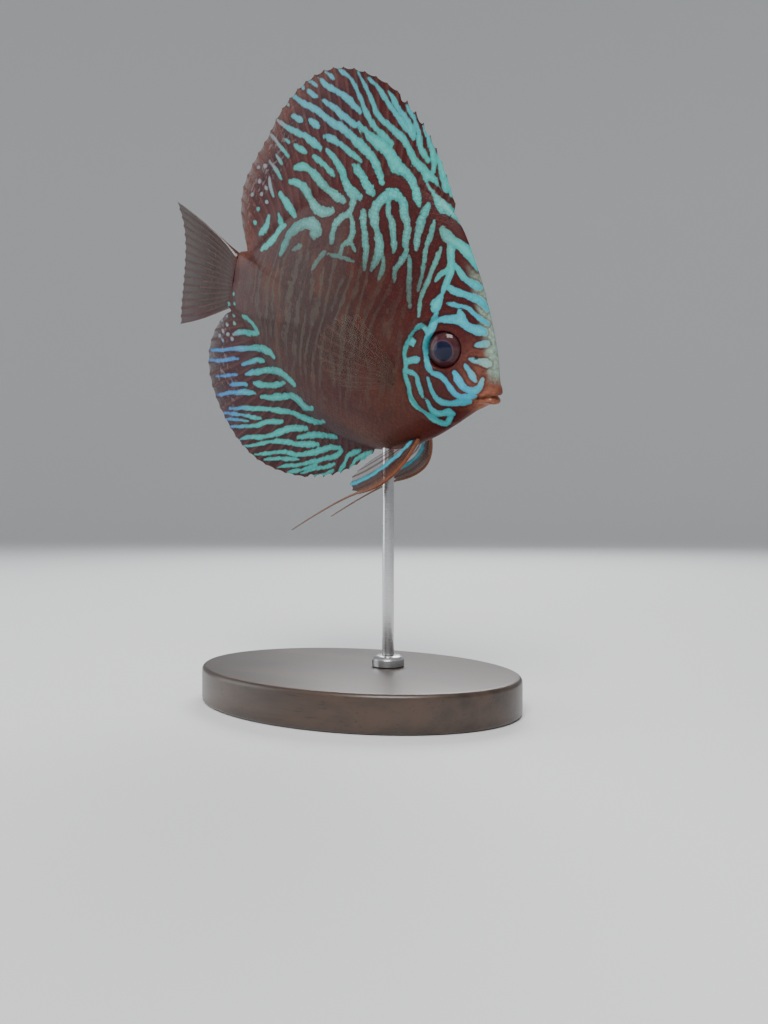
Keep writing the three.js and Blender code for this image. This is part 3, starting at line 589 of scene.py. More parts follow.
class Shop:
    """Makes one material's nodes."""

    def __init__(self, name):
        self.material = bpy.data.materials.new(name)
        self.material.use_nodes = True
        self.tree = self.material.node_tree
        self.tree.nodes.clear()

    def node(self, kind, settings=None, out=0, **inputs):
        """A node of that kind, with its settings and what its sockets are given, by name or as i0, i1."""
        made = self.tree.nodes.new(kind)
        for key, value in (settings or {}).items():
            if key == "stops":
                ramp = made.color_ramp
                while len(ramp.elements) < len(value):
                    ramp.elements.new(0.5)
                for element, (at, colour) in zip(ramp.elements, value):
                    element.position, element.color = at, colour
            else:
                setattr(made, key, value)
        for key, value in inputs.items():
            numbered = key[0] == "i" and key[1:].isdigit()
            self.feed(made.inputs[int(key[1:]) if numbered else key.replace("_", " ")], value)
        return Wire(self, made.outputs[out]) if made.outputs else None

    def feed(self, socket, value):
        if isinstance(value, Wire):
            self.tree.links.new(value.socket, socket)
        else:
            socket.default_value = value

    def math(self, operation, *values):
        given = {f"i{i}": value for i, value in enumerate(values)}
        return self.node("ShaderNodeMath", {"operation": operation}, **given)

    def attribute(self, name, out="Fac"):
        return self.node("ShaderNodeAttribute", {"attribute_name": name}, out=out)

    def step(self, x, low, high):
        """0 up to low and 1 from high, smoothly."""
        smoothly = {"interpolation_type": "SMOOTHSTEP"}
        return self.node("ShaderNodeMapRange", smoothly, i0=x, i1=low, i2=high, i3=0.0, i4=1.0)

    def mix(self, share, a, b):
        """Colour a where share is 0 and colour b where it is 1."""
        return self.node("ShaderNodeMix", {"data_type": "RGBA"}, out=2, i0=share, i6=a, i7=b)

    def scaled(self, place, factors):
        return self.node("ShaderNodeMapping", Vector=place, Scale=factors)

    def noise(self, place, scale, detail=3.0, roughness=0.55):
        return self.node("ShaderNodeTexNoise", Vector=place, Scale=scale, Detail=detail, Roughness=roughness)

    def bump(self, height, distance, strength=1.0, under=None):
        more = {} if under is None else {"Normal": under}
        return self.node("ShaderNodeBump", Height=height, Distance=distance, Strength=strength, **more)

    def principled(self, **inputs):
        shader = self.node("ShaderNodeBsdfPrincipled", **inputs)
        self.node("ShaderNodeOutputMaterial", Surface=shader)
        return self.material


def striped_base(shop, ragged, softness=0.2):
    """The fish's two colours over one another. ragged moves the stripes' edges, in millimetres."""
    place = shop.attribute("place", "Vector")
    waver = shop.noise(place, 0.42, 2.0) - 0.5
    fray = shop.noise(place, 1.5, 3.0, 0.6) - 0.5
    field = shop.attribute("stripe") + waver * 0.7 + fray * 0.5 + ragged - STRIPE_SPREAD
    mask = 1 - shop.step(field, -softness, softness)
    rim = shop.step(field, 0.02, 0.35) * (1 - shop.step(field, 0.45, 1.1))
    core = 1 - shop.step(field, -1.4, -0.3)
    mottle = shop.noise(place, 0.8, 4.0, 0.65)
    grain = shop.noise(shop.scaled(place, (1, 1, 0.5)), 2.6, 3.0, 0.6)
    ground = shop.attribute("ground", "Color")
    ground = shop.mix(shop.step(mottle, 0.35, 0.7) * 0.5, ground, (0.02, 0.004, 0.005, 1))
    ground = shop.mix(shop.step(grain, 0.52, 0.75) * 0.22, ground, (0.3, 0.08, 0.05, 1))
    ground = shop.mix(rim * 0.5, ground, (0.025, 0.003, 0.006, 1))
    sparkle = core * 0.25 + shop.step(grain, 0.45, 0.75) * 0.2
    tint = shop.mix(sparkle, shop.attribute("tint", "Color"), (0.16, 0.62, 0.6, 1))
    tint = shop.mix(shop.step(mottle, 0.45, 0.75) * 0.35, tint, (0.02, 0.16, 0.17, 1))
    return place, ground, tint, mask * shop.attribute("strength"), mottle, grain


def scales(shop):
    """A value for each scale, and where the scales' edges show."""
    where = shop.scaled(shop.attribute("place", "Vector"), (0.66, 0.3, 0.8))
    cells = {"Vector": where, "Scale": 1.0, "Randomness": 0.45}
    cell_colour = shop.node("ShaderNodeTexVoronoi", out="Color", **cells)
    to_edge = shop.node("ShaderNodeTexVoronoi", {"feature": "DISTANCE_TO_EDGE"}, **cells)
    edge = (1 - shop.step(to_edge, 0.0, 0.2)) * shop.attribute("scaled")
    return shop.node("ShaderNodeSeparateColor", i0=cell_colour), edge


def skin_material(paint):
    shop = Shop("discus skin")
    one_scale, scale_edge = scales(shop)
    steps = (one_scale - 0.5) * (shop.attribute("scaled") * 0.42 + 0.08)
    place, ground, tint, mask, mottle, grain = striped_base(shop, steps)
    sway = shop.noise(shop.scaled(place, (1, 0.3, 0.42)), 0.09, 3.0, 0.55) - 0.5
    across = shop.node("ShaderNodeSeparateXYZ", i0=place)
    waves = shop.math("SINE", across * 1.55 + sway * 24.0)
    broken = shop.noise(shop.scaled(place, (1, 1, 0.6)), 0.2, 2.0)
    lines = shop.step(waves + (one_scale - 0.5) * 0.9, -0.15, 0.55)
    worm = lines * shop.step(broken, 0.34, 0.52) * shop.attribute("worm")
    clouds = shop.noise(shop.scaled(place, (1, 1, 0.5)), 0.13, 3.0, 0.6)
    blotch = shop.step(clouds, 0.48, 0.66) * shop.attribute("worm")
    ground = shop.mix(blotch * 0.55, ground, (*paint.warm, 1))
    ground = shop.mix(worm * 0.6, ground, (*paint.worm, 1))
    ground = shop.mix(scale_edge * 0.4, ground, SCALE_EDGE)
    tint = shop.mix(scale_edge * 0.35, tint, STRIPE_SCALE_EDGE)
    base = shop.mix(mask, ground, tint)
    height = shop.bump(1 - scale_edge, 0.00014, 0.3)
    height = shop.bump(grain, 0.0001, 0.2, height)
    return shop.principled(
        Base_Color=base, Roughness=0.38 + mottle * 0.16, Normal=height,
        Coat_Weight=0.1, Coat_Roughness=0.12, IOR=FLESH_IOR,
    )


def fin_material(paint, name, ray_share=0.5):
    shop = Shop(name)
    rays = shop.attribute("ray")
    along = shop.attribute("along")
    streaks = shop.node("ShaderNodeCombineXYZ", X=rays * 2.2, Y=along * 5.0, Z=0.0)
    one_scale, scale_edge = scales(shop)
    steps = (shop.noise(streaks, 1.0, 1.0) - 0.5) * 1.1 + (one_scale - 0.5) * shop.attribute("scaled") * 0.4
    place, ground, tint, mask, mottle, grain = striped_base(shop, steps, 0.26)
    between = shop.node("ShaderNodeMath", {"operation": "PINGPONG"}, i0=rays, i1=0.5) * 2.0
    ridge = shop.step(between, 0.5, 0.95)
    joints = shop.node("ShaderNodeMath", {"operation": "FRACT"}, i0=along * 30.0)
    joint = shop.step(joints, 0.0, 0.12) * (1 - shop.step(joints, 0.86, 1.0))
    dash_place = shop.node("ShaderNodeCombineXYZ", X=rays, Y=along * 16.0, Z=0.0)
    pale = shop.step(shop.noise(dash_place, 1.5, 1.0), 0.56, 0.66) * shop.attribute("dashes")
    ground = shop.mix(ridge * 0.3, ground, (0.13, 0.05, 0.04, 1))
    ground = shop.mix(scale_edge * 0.4, ground, SCALE_EDGE)
    tint = shop.mix(scale_edge * 0.35, tint, STRIPE_SCALE_EDGE)
    base = shop.mix(mask, ground, tint)
    base = shop.mix(pale * 0.45, base, (*paint.speck, 1))
    alpha = 1 - shop.attribute("clear") * (1 - ridge * ray_share) * (1 - mask * 0.6) * (1 - pale * 0.6)
    height = shop.bump(ridge * (0.6 + joint * 0.4), 0.00022, 0.6)
    height = shop.bump(grain, 0.0001, 0.25, height)
    return shop.principled(
        Base_Color=base, Roughness=0.4 + mottle * 0.14, Alpha=alpha, Normal=height,
        Coat_Weight=0.05, Coat_Roughness=0.2, IOR=FLESH_IOR,
    )


def eye_material(paint):
    shop = Shop("fish eye")
    place = shop.attribute("place", "Vector")
    streak = shop.noise(place, 1.1, 4.0, 0.6)
    r = shop.attribute("from_pupil") + (streak - 0.5) * 0.05
    dark_rim = (0.008, 0.003, 0.006, 1)
    iris = shop.node("ShaderNodeValToRGB", {"stops": [
        (0.0, (*paint.pupil, 1)), (0.5, (*paint.pupil, 1)), (0.55, (*paint.eye_ring, 1)),
        (0.62, (*paint.iris, 1)), (0.84, (*paint.iris, 1)), (0.98, dark_rim),
    ]}, i0=r)
    fibres = shop.step(streak, 0.45, 0.7) * 0.35 * shop.step(r, 0.56, 0.66)
    base = shop.mix(fibres, iris, (0.1, 0.03, 0.03, 1))
    return shop.principled(Base_Color=base, Roughness=0.5, Coat_Weight=0.45, Coat_Roughness=0.02, IOR=1.2)


def wood_material(stand):
    shop = Shop("dark stained wood")
    place = shop.node("ShaderNodeTexCoord", out="Object")
    stretched = shop.scaled(place, (9, 95, 95))
    rings = shop.noise(stretched, 1.0, 5.0, 0.6)
    pores = shop.noise(shop.scaled(place, (60, 1500, 1500)), 1.0, 2.0)
    base = shop.mix(shop.step(rings, 0.35, 0.7), (*stand.wood_dark[:3], 1), (*stand.wood_light[:3], 1))
    base = shop.mix(shop.step(pores, 0.6, 0.72) * 0.5, base, (0.008, 0.005, 0.004, 1))
    height = shop.bump(pores, 0.00008, 0.5)
    return shop.principled(
        Base_Color=base, Roughness=0.36 + rings * 0.12, Normal=height, Coat_Weight=0.3, Coat_Roughness=0.25,
    )


def steel_material():
    shop = Shop("brushed steel")
    place = shop.node("ShaderNodeTexCoord", out="Object")
    brush = shop.noise(shop.scaled(place, (400, 400, 9000)), 1.0, 3.0)
    base = shop.mix(brush, (0.5, 0.5, 0.51, 1), (0.66, 0.66, 0.67, 1))
    height = shop.bump(brush, 0.00001, 0.4)
    return shop.principled(Base_Color=base, Metallic=1.0, Roughness=0.22 + brush * 0.14, Normal=height)


# What a user would change

def colour(name, description, value):
    return bpy.props.FloatVectorProperty(
        name=name, description=description, subtype="COLOR", size=3, min=0, max=1, default=value,
    )


def length(name, description, value):
    return bpy.props.FloatProperty(
        name=name, description=description, default=value, unit="LENGTH", precision=5,
    )


def degrees(name, description, value):
    return bpy.props.FloatProperty(name=name, description=description, default=value)


class FishSizes(bpy.types.PropertyGroup):
    """How the fish is placed and how thick it is."""

    height: length("Height", "Height of the fish's centre over the floor", 0.126)
    pitch: degrees("Pitch", "How far the nose points down, in degrees", 24)
    lean: degrees("Lean", "How far the back leans to the fish's right, in degrees", 14)
    half_width: length("Half width", "Half the body's greatest thickness", 0.0116)
    eye_radius: length("Eye radius", "Radius of the eyeball seen from the side", 0.0059)
    eye_u: length("Eye forward", "The eye's place forward of the centre", 0.0401)
    eye_v: length("Eye up", "The eye's place above the centre", 0.0067)


class FishColours(bpy.types.PropertyGroup):
    """The fish's own colours."""

    ground: colour("Ground", "Deep red-brown between the stripes", (0.058, 0.0052, 0.0052))
    worm: colour("Flank lines", "Dull grey-brown of the flank's faint upright lines", (0.064, 0.052, 0.04))
    flank: colour("Flank", "Plain brown of the middle of the side", (0.029, 0.01, 0.007))
    warm: colour("Warm", "Orange-brown behind the gills and on the belly", (0.095, 0.023, 0.009))
    fin_dark: colour("Fin dark", "Purple-brown of the outer fins", (0.035, 0.007, 0.012))
    fin_rim: colour("Fin rim", "Brown of the dorsal fin's rear edge", (0.12, 0.034, 0.02))
    lip: colour("Lip", "Orange-brown of the mouth", (0.26, 0.09, 0.05))
    forehead: colour("Forehead", "Pale grey-green of the face's front edge", (0.27, 0.38, 0.31))
    tail: colour("Tail", "Smoky brown of the tail fin", (0.027, 0.016, 0.012))
    stripe: colour("Stripe", "Turquoise of the fins' stripes", (0.03, 0.3, 0.27))
    stripe_face: colour("Face stripe", "Cyan of the face's stripes", (0.02, 0.31, 0.43))
    stripe_back: colour("Back stripe", "Grey turquoise of the back's stripes", (0.075, 0.22, 0.19))
    stripe_pale: colour("Pale stripe", "Pale blue of the dorsal fin's outer stripes", (0.06, 0.27, 0.36))
    stripe_blue: colour("Blue stripe", "Blue of the anal fin's tips", (0.03, 0.16, 0.42))
    stripe_bright: colour("Bright stripe", "Bright blue of the stripes below the eye", (0.01, 0.36, 0.62))
    snout: colour("Snout", "Tan of the face before the eye", (0.17, 0.055, 0.035))
    speck: colour("Speck", "Lilac-grey of the pale specks", (0.2, 0.19, 0.21))
    pupil: colour("Pupil", "Blue-black pupil", (0.002, 0.004, 0.024))
    iris: colour("Iris", "Dark red iris", (0.04, 0.008, 0.011))
    eye_ring: colour("Eye ring", "Thin lilac ring round the pupil", (0.07, 0.03, 0.05))
    pelvic_edge: colour("Pelvic edge", "Amber of the pelvic fins' edge", (0.2, 0.06, 0.014))
    filament: colour("Filament", "Pale tan of the pelvic fins' thread", (0.22, 0.13, 0.08))


class StandSizes(bpy.types.PropertyGroup):
    """The stand's own colours and edge."""

    wood_dark: colour("Dark wood", "The dark of the grain", (0.022, 0.013, 0.009))
    wood_light: colour("Light wood", "The light of the grain", (0.06, 0.034, 0.022))
    bevel: length("Edge", "Radius of the base's edges", 0.0015)


def settings():
    scene = bpy.context.scene
    return scene.discus_sizes, scene.discus_colours, scene.discus_stand


# The skin

def gill_relief(u, v):
    """How far the skin stands proud of the plain body at the gill cover's edge and the cheek's crease."""
    edge, round_edge, outside = distance_to(spline(GILL_EDGE, 60), u, v)
    behind = edge * outside
    fade = smooth(1, 0.8, round_edge)
    rise = 0.6 * smooth(0.35, -0.5, behind) * np.exp(-np.clip(-behind, 0, 99) / 7) * fade
    rise -= 0.5 * np.exp(-((behind - 0.55) / 0.5) ** 2) * fade
    cheek, share, far = distance_to(spline(CHEEK_EDGE, 50), u, v)
    line = cheek * far
    rise -= 0.3 * np.exp(-(line / 0.4) ** 2) * smooth(0, 0.12, share) * smooth(1, 0.85, share)
    rise += 0.22 * np.exp(-((line + 1.1) / 0.8) ** 2)
    return rise


class DISCUS_OT_skin(bpy.types.Operator):
    """Builds the one skin of head, trunk and tail base, with gill covers, mouth and nostrils"""

    bl_idname = "discus.skin"
    bl_label = "Skin"

    def execute(self, context):
        fish, paint, _ = settings()
        widest = fish.half_width / MM
        around, across = 500, 92
        fine = spline(BODY_OUTLINE, 6000, closed=True)
        crowding = 0.8 + 4.5 * near(fine[:, 0], fine[:, 1], (58, -3), (5, 7))
        gone = np.cumsum(crowding) / crowding.sum()
        picked = fine[np.searchsorted(gone, (np.arange(around) + 0.5) / around)] - BODY_CENTRE
        turn = np.arctan2(picked[:, 1], picked[:, 0])
        ring = np.linspace(0, np.pi, 2 * across + 1)[1:-1]
        share, angle = np.meshgrid(np.sin(ring), turn, indexing="ij")
        side = np.sign(np.round(np.cos(ring), 9))[:, None] * np.ones(around)
        r = reach_at(angle, share)
        full = round_interp(angle, REACH)
        rim = edge_half(BODY_CENTRE[0] + full * np.cos(angle), BODY_CENTRE[1] + full * np.sin(angle))
        u = BODY_CENTRE[0] + r * np.cos(angle)
        v = BODY_CENTRE[1] + r * np.sin(angle)
        w = side * half_width(share, rim, widest)
        points = np.stack([u, w, v], -1)
        along = np.roll(points, -1, 1) - np.roll(points, 1, 1)
        across_step = np.gradient(points, axis=0)
        normal = np.cross(along, across_step)
        normal /= np.linalg.norm(normal, axis=-1, keepdims=True)
        outward = np.stack([u - BODY_CENTRE[0], w * 8, v - BODY_CENTRE[1]], -1)
        normal *= np.sign((normal * outward).sum(-1))[..., None]
        rise = self.features(u.ravel(), v.ravel(), fish).reshape(u.shape)
        points = points + normal * rise[..., None]
        poles = [[BODY_CENTRE[0], widest, BODY_CENTRE[1]], [BODY_CENTRE[0], -widest, BODY_CENTRE[1]]]
        flat = np.vstack([points.reshape(-1, 3), poles])
        count = len(ring) * around
        faces = [tuple(f) for f in grid_faces(len(ring), around, True)]
        faces += [(count, (i + 1) % around, i) for i in range(around)]
        last = count - around
        faces += [(count + 1, last + i, last + (i + 1) % around) for i in range(around)]
        faces = [tuple(reversed(f)) for f in faces]
        skin = new_piece("discus_skin", flat, faces, fish)
        paint_piece(skin, flat, np.abs(flat[:, 1]), paint, True, wander=0.9)
        flank = near(flat[:, 0], flat[:, 2], (-10, 1), (40, 29), 2.2)
        put_value(skin, "worm", flank)
        put_value(skin, "scaled", smooth(34, 24, flat[:, 0]) * (1 - 0.5 * flank))
        finish_piece(
            skin, skin_material(paint), "skin",
            "head", "lower_jaw", "torso", "tail_base", "gill_cover_left", "gill_cover_right",
        )
        return {"FINISHED"}

    def features(self, u, v, fish):
        """How far the skin stands proud at the gill cover, eye rim, nostril, mouth, lips and lateral line."""
        rise = gill_relief(u, v)
        eye = np.hypot(u - fish.eye_u / MM, v - fish.eye_v / MM)
        size = fish.eye_radius / MM
        rise += 0.3 * np.exp(-((eye - size - 0.5) / 0.8) ** 2) - 2.2 * smooth(size + 0.1, size - 0.8, eye)
        nostril = np.hypot(u - NOSTRIL[0], v - NOSTRIL[1])
        rise -= 0.9 * np.exp(-(nostril / 0.55) ** 4)
        rise += 0.28 * np.exp(-((nostril - 1.0) / 0.4) ** 2)
        slit, share, above = distance_to(spline(MOUTH_LINE, 40), u, v)
        height = slit * above
        fade = smooth(0.02, 0.2, share)
        upper = 0.35 * np.exp(-((height - 1.0) / 0.6) ** 2) * fade
        lower = 0.4 * np.exp(-((height + 1.0) / 0.6) ** 2) * fade
        rise += upper + lower
        rise += 0.75 * np.exp(-((u - 58.7) ** 2 + (v + 0.8) ** 2) / 2.0)
        rise += 1.45 * np.exp(-((u - 57.6) ** 2 + (v + 4.1) ** 2) / 2.6)
        rise -= 0.95 * np.exp(-(height / 0.34) ** 2) * fade
        line, _, _ = distance_to(spline(LATERAL_LINE, 80), u, v)
        rise -= 0.12 * np.exp(-(line / 0.45) ** 2)
        return rise


# The fins

def ray_paths(root, margin, columns, sweep):
    """Root, knee and tip of each column of a fin."""
    a, b = spline(root, columns), spline(margin, columns)
    lean = b - a
    s = np.linspace(0, 1, columns)
    knee = a + lean / 2 + np.column_stack([lean[:, 1], -lean[:, 0]]) * sweep(s)[:, None]
    return a, knee, b


def fin_piece(name, fish, paths, rays, rows, thickness, bend, notch, forks):
    """A fin with its rays as ridges of its own surface.

    Returns the piece, its points, and each point's share across the rays, reach along them and thickness.
    """
    a, knee, b = paths
    columns = len(a)
    s = np.linspace(0, 1, columns)[:, None]
    t = np.linspace(0, 1, rows)[None, :]
    beat = s * (rays - 1)
    web = np.abs(np.sin(np.pi * beat))
    reach = t * (1 - notch(s) * web ** 0.7)
    start, end = (1 - reach) ** 2, reach ** 2
    x = [
        a[:, i, None] * start + 2 * knee[:, i, None] * reach * (1 - reach) + b[:, i, None] * end
        for i in range(2)
    ]
    single = np.cos(np.pi * beat) ** 8
    double = np.cos(np.pi * (beat + 0.13)) ** 12 + np.cos(np.pi * (beat - 0.13)) ** 12
    split = smooth(forks - 0.1, forks + 0.15, t)
    ridge = single * (1 - split) + double * split * 0.8
    half = thickness(s, t) + 0.2 * ridge * (1 - 0.7 * t)
    half = half * np.sqrt(np.clip(1.02 - t ** 10, 0.02, 1))
    depth = np.tile(half.ravel(), 2)
    middle = bend(x[0], x[1], t + 0 * s)
    both = [np.stack([x[0], middle + sign * half, x[1]], -1).reshape(-1, 3) for sign in (1, -1)]
    points = np.vstack(both)
    sheet = grid_faces(columns, rows, False)
    count = columns * rows
    index = np.arange(count).reshape(columns, rows)
    border = np.concatenate([index[:, 0], index[-1, 1:], index[-2::-1, -1], index[0, -2:0:-1]])
    following = np.roll(border, -1)
    wall = np.column_stack([border, border + count, following + count, following])
    faces = np.vstack([sheet, sheet[:, ::-1] + count, wall])
    d = np.cross(np.append(a[-1] - a[0], 0), np.append(b[columns // 2] - a[columns // 2], 0))[2]
    if d > 0:
        faces = faces[:, ::-1]
    piece = new_piece(name, points, faces, fish)
    ray = np.tile((beat + 0 * t).ravel(), 2)
    along = np.tile((t + 0 * s).ravel(), 2)
    put_value(piece, "ray", ray + 0.5)
    put_value(piece, "along", along)
    put_value(piece, "scaled", np.exp(-(along / 0.26) ** 2))
    return piece, points, ray / (rays - 1), along, depth


def wave(length, size, phase):
    return lambda x, z, t: size * t ** 2 * np.sin(x / length * 2 * np.pi + phase)


class DISCUS_OT_tall_fins(bpy.types.Operator):
    """Builds the striped dorsal and anal fins, with spines in front and branched rays behind"""

    bl_idname = "discus.tall_fins"
    bl_label = "Dorsal and anal fins"

    def execute(self, context):
        fish, paint, _ = settings()
        for name, node, root, margin, rays, spines, sign, phase in (
            ("dorsal_fin_dressed", "dorsal_fin", DORSAL_ROOT, DORSAL_MARGIN, 34, 9, 1, 0.4),
            ("anal_fin_dressed", "anal_fin", ANAL_ROOT, ANAL_MARGIN, 30, 8, -1, 2.2),
        ):
            paths = ray_paths(root, margin, (rays - 1) * 8 + 1, lambda s: sign * 0.06 * np.sin(np.pi * s))
            spiny = spines / rays
            piece, points, share, along, depth = fin_piece(
                name, fish, paths, rays, 76,
                lambda s, t: 0.24 + 1.3 * np.exp(-(np.maximum(0, t - 0.08) / 0.17) ** 2),
                wave(60, 1.1, phase),
                lambda s: np.where(s < spiny, 0.07, 0.018),
                0.5 if sign > 0 else 0.55,
            )
            paint_piece(piece, points, depth, paint, False)
            rear = smooth(0.45, 0.9, share)
            margin_clear = smooth(0.62, 1.0, along)
            outer = 0.45 * margin_clear * rear + 0.12 * rear * smooth(0.35, 0.7, along)
            put_value(piece, "clear", outer + 0.15 * smooth(0.93, 1, along))
            put_value(piece, "dashes", smooth(0.5, 0.75, share) * smooth(0.45, 0.7, along))
            finish_piece(piece, fin_material(paint, name.replace("_", " ")), "fin", node)
        return {"FINISHED"}


class DISCUS_OT_tail_fin(bpy.types.Operator):
    """Builds the smoky, see-through tail fin"""

    bl_idname = "discus.tail_fin"
    bl_label = "Tail fin"

    def execute(self, context):
        fish, paint, _ = settings()
        paths = ray_paths(TAIL_ROOT, TAIL_MARGIN, 15 * 10 + 1, lambda s: 0.12 * (0.5 - s))
        piece, points, share, along, depth = fin_piece(
            "tail_fin_dressed", fish, paths, 16, 70,
            lambda s, t: 0.22 + 1.6 * np.exp(-(t / 0.16) ** 2),
            lambda x, z, t: 1.6 * t ** 2,
            lambda s: 0.02 + 0 * s,
            0.35,
        )
        paint_piece(piece, points, depth, paint, False)
        put_value(piece, "clear", 0.04 + 0.36 * smooth(0.15, 0.95, along))
        put_value(piece, "dashes", 0.25 * smooth(0.1, 0.4, along) * smooth(0.95, 0.7, along))
        finish_piece(piece, fin_material(paint, "tail fin dressed"), "clear_fin", "tail_fin")
        return {"FINISHED"}


class DISCUS_OT_pectoral_fins(bpy.types.Operator):
    """Builds the glass-clear pectoral fins that lie back along the flanks"""

    bl_idname = "discus.pectoral_fins"
    bl_label = "Pectoral fins"

    def execute(self, context):
        fish, paint, _ = settings()
        material = fin_material(paint, "pectoral fin clear", 0.22)
        for name, side in SIDES.items():
            paths = ray_paths(PECTORAL_ROOT, PECTORAL_MARGIN, 10 * 10 + 1, lambda s: 0.1 * (0.5 - s))
            piece, points, share, along, _ = fin_piece(
                f"pectoral_fin_{name}_dressed", None, paths, 11, 56,
                lambda s, t: 0.13 + 0.75 * np.exp(-(t / 0.12) ** 2),
                lambda x, z, t: side * 2.2 * np.sin(np.pi * t * 0.9),
                lambda s: 0.03 + 0 * s,
                0.4,
            )
            place = self.placed(points, side, fish)
            move_points(piece, place, fish)
            put_value(piece, "stripe", np.full(len(points), 3.0))
            put_value(piece, "strength", np.zeros(len(points)))
            put_value(piece, "scaled", 0 * along)
            put_colour(piece, "ground", np.tile(np.array(PECTORAL_GROUND), (len(points), 1)))
            put_colour(piece, "tint", np.tile(np.array(paint.stripe[:3]), (len(points), 1)))
            put_place(piece, place)
            put_value(piece, "clear", 0.6 + 0.34 * smooth(0.0, 0.35, along))
            put_value(piece, "dashes", np.zeros(len(points)))
            finish_piece(piece, material, "clear_fin", f"pectoral_fin_{name}")
        return {"FINISHED"}

    def placed(self, points, side, fish):
        turn = Matrix.Rotation(math.radians(4), 3, "Y") @ Matrix.Rotation(math.radians(-20 * side), 3, "Z")
        out = points @ np.array(turn).T
        u, v = PECTORAL_PLACE
        depth = float(surface_half(u, v, fish.half_width / MM)) - 0.4
        return out + np.array([u, side * depth, v])


def bow(a, b, c, t):
    return a * (1 - t) ** 2 + 2 * b * t * (1 - t) + c * t ** 2


class DISCUS_OT_pelvic_fins(bpy.types.Operator):
    """Builds the pelvic fins, each with an amber leading ray that runs out to a thread"""

    bl_idname = "discus.pelvic_fins"
    bl_label = "Pelvic fins"

    def execute(self, context):
        fish, paint, _ = settings()
        material = fin_material(paint, "pelvic fin")
        for name, side in SIDES.items():
            root, knee, tip = self.ray_curves()
            at = np.linspace(0, 5, 101)
            rows = tuple(
                np.column_stack([np.interp(at, np.arange(6), path[:, k]) for k in range(2)])
                for path in (root, knee, tip)
            )

            def out(t, side=side):
                return side * (3.4 + 7.5 * np.sin(np.minimum(1, t * 1.3) * np.pi / 2))

            web, points, ray, along, _ = fin_piece(
                f"pelvic_fin_{name}_dressed", fish, rows, 6, 80,
                lambda s, t: 0.18 + 0.4 * np.exp(-(t / 0.12) ** 2),
                lambda x, z, t: out(t),
                lambda s: 0.03 + 0 * s,
                0.6,
            )
            line = bow(root[2], knee[2], tip[2], np.linspace(0, 1, 30)[:, None])
            turquoise = distance_to(line, points[:, 0], points[:, 2])[0] - 0.45
            dark = np.array(PELVIC_DARK)
            edge = smooth(0.22, 0.0, ray) * smooth(0.15, 0.4, along)
            amber = dark + (np.array(paint.pelvic_edge) - dark) * edge[:, None]
            clear = 0.2 + 0.5 * smooth(0.42, 0.5, ray) + 0.15 * smooth(0.3, 0.5, along)
            self.paint_part(web, points, turquoise, amber, clear, paint)
            bar = self.thread(fish, (root[0], knee[0], tip[0]), out, paint)
            only(web)
            bar.select_set(True)
            bpy.ops.object.join()
            finish_piece(web, material, "fin", f"pelvic_fin_{name}")
        return {"FINISHED"}

    def ray_curves(self):
        root = spline(PELVIC_ROOT, 6)
        tip = np.array(PELVIC_TIPS, float)
        lean = tip - root
        bulge = np.array(PELVIC_BULGE)[:, None]
        return root, root + lean * 0.45 + np.column_stack([-lean[:, 1], lean[:, 0]]) * bulge, tip

    def thread(self, fish, lead, out, paint):
        """The leading ray and its thread as one round bar that thins to a hair."""
        steps, sides = 120, 12
        t = np.linspace(0, 1, steps + 1)[:, None]
        first = bow(*lead, np.minimum(1, 2 * t))
        then = bow(*np.array(THREAD, float), np.maximum(0, 2 * t - 1))
        flat = np.where(t < 0.5, first, then)
        line = np.column_stack([flat[:, 0], out(2 * t[:, 0]), flat[:, 1]])
        ahead = np.gradient(line, axis=0)
        ahead /= np.linalg.norm(ahead, axis=1, keepdims=True)
        across = np.cross(ahead, [0, 1, 0])
        across /= np.linalg.norm(across, axis=1, keepdims=True)
        up = np.cross(across, ahead)
        radius = LEAD_RADIUS + (THREAD_RADIUS - LEAD_RADIUS) * t
        turn = np.arange(sides) / sides * 2 * np.pi
        round_bar = across[:, None] * np.cos(turn)[:, None] + up[:, None] * np.sin(turn)[:, None]
        rings = line[:, None] + radius[:, None] * round_bar
        faces = [tuple(reversed(f)) for f in grid_faces(steps + 1, sides, True).tolist()]
        faces += [tuple(range(sides)), tuple(steps * sides + k for k in reversed(range(sides)))]
        bar = new_piece("thread", rings.reshape(-1, 3), faces, fish)
        share = np.repeat(t[:, 0], sides)
        amber, pale = np.array(paint.pelvic_edge), np.array(paint.filament)
        colours = amber + (pale - amber) * smooth(0.35, 0.55, share)[:, None]
        put_value(bar, "scaled", 0 * share)
        put_value(bar, "ray", np.full(len(share), 0.5))
        put_value(bar, "along", share)
        self.paint_part(bar, rings.reshape(-1, 3), np.full(len(share), 3.0), colours, 0.0 * share, paint)
        return bar

    def paint_part(self, piece, points, stripe, ground, clear, paint):
        put_value(piece, "stripe", stripe)
        put_value(piece, "strength", np.ones(len(points)))
        put_colour(piece, "ground", ground)
        put_colour(piece, "tint", np.tile(np.array(paint.stripe_face), (len(points), 1)))
        put_place(piece, points)
        put_value(piece, "clear", clear)
        put_value(piece, "dashes", np.zeros(len(points)))


# The eyes

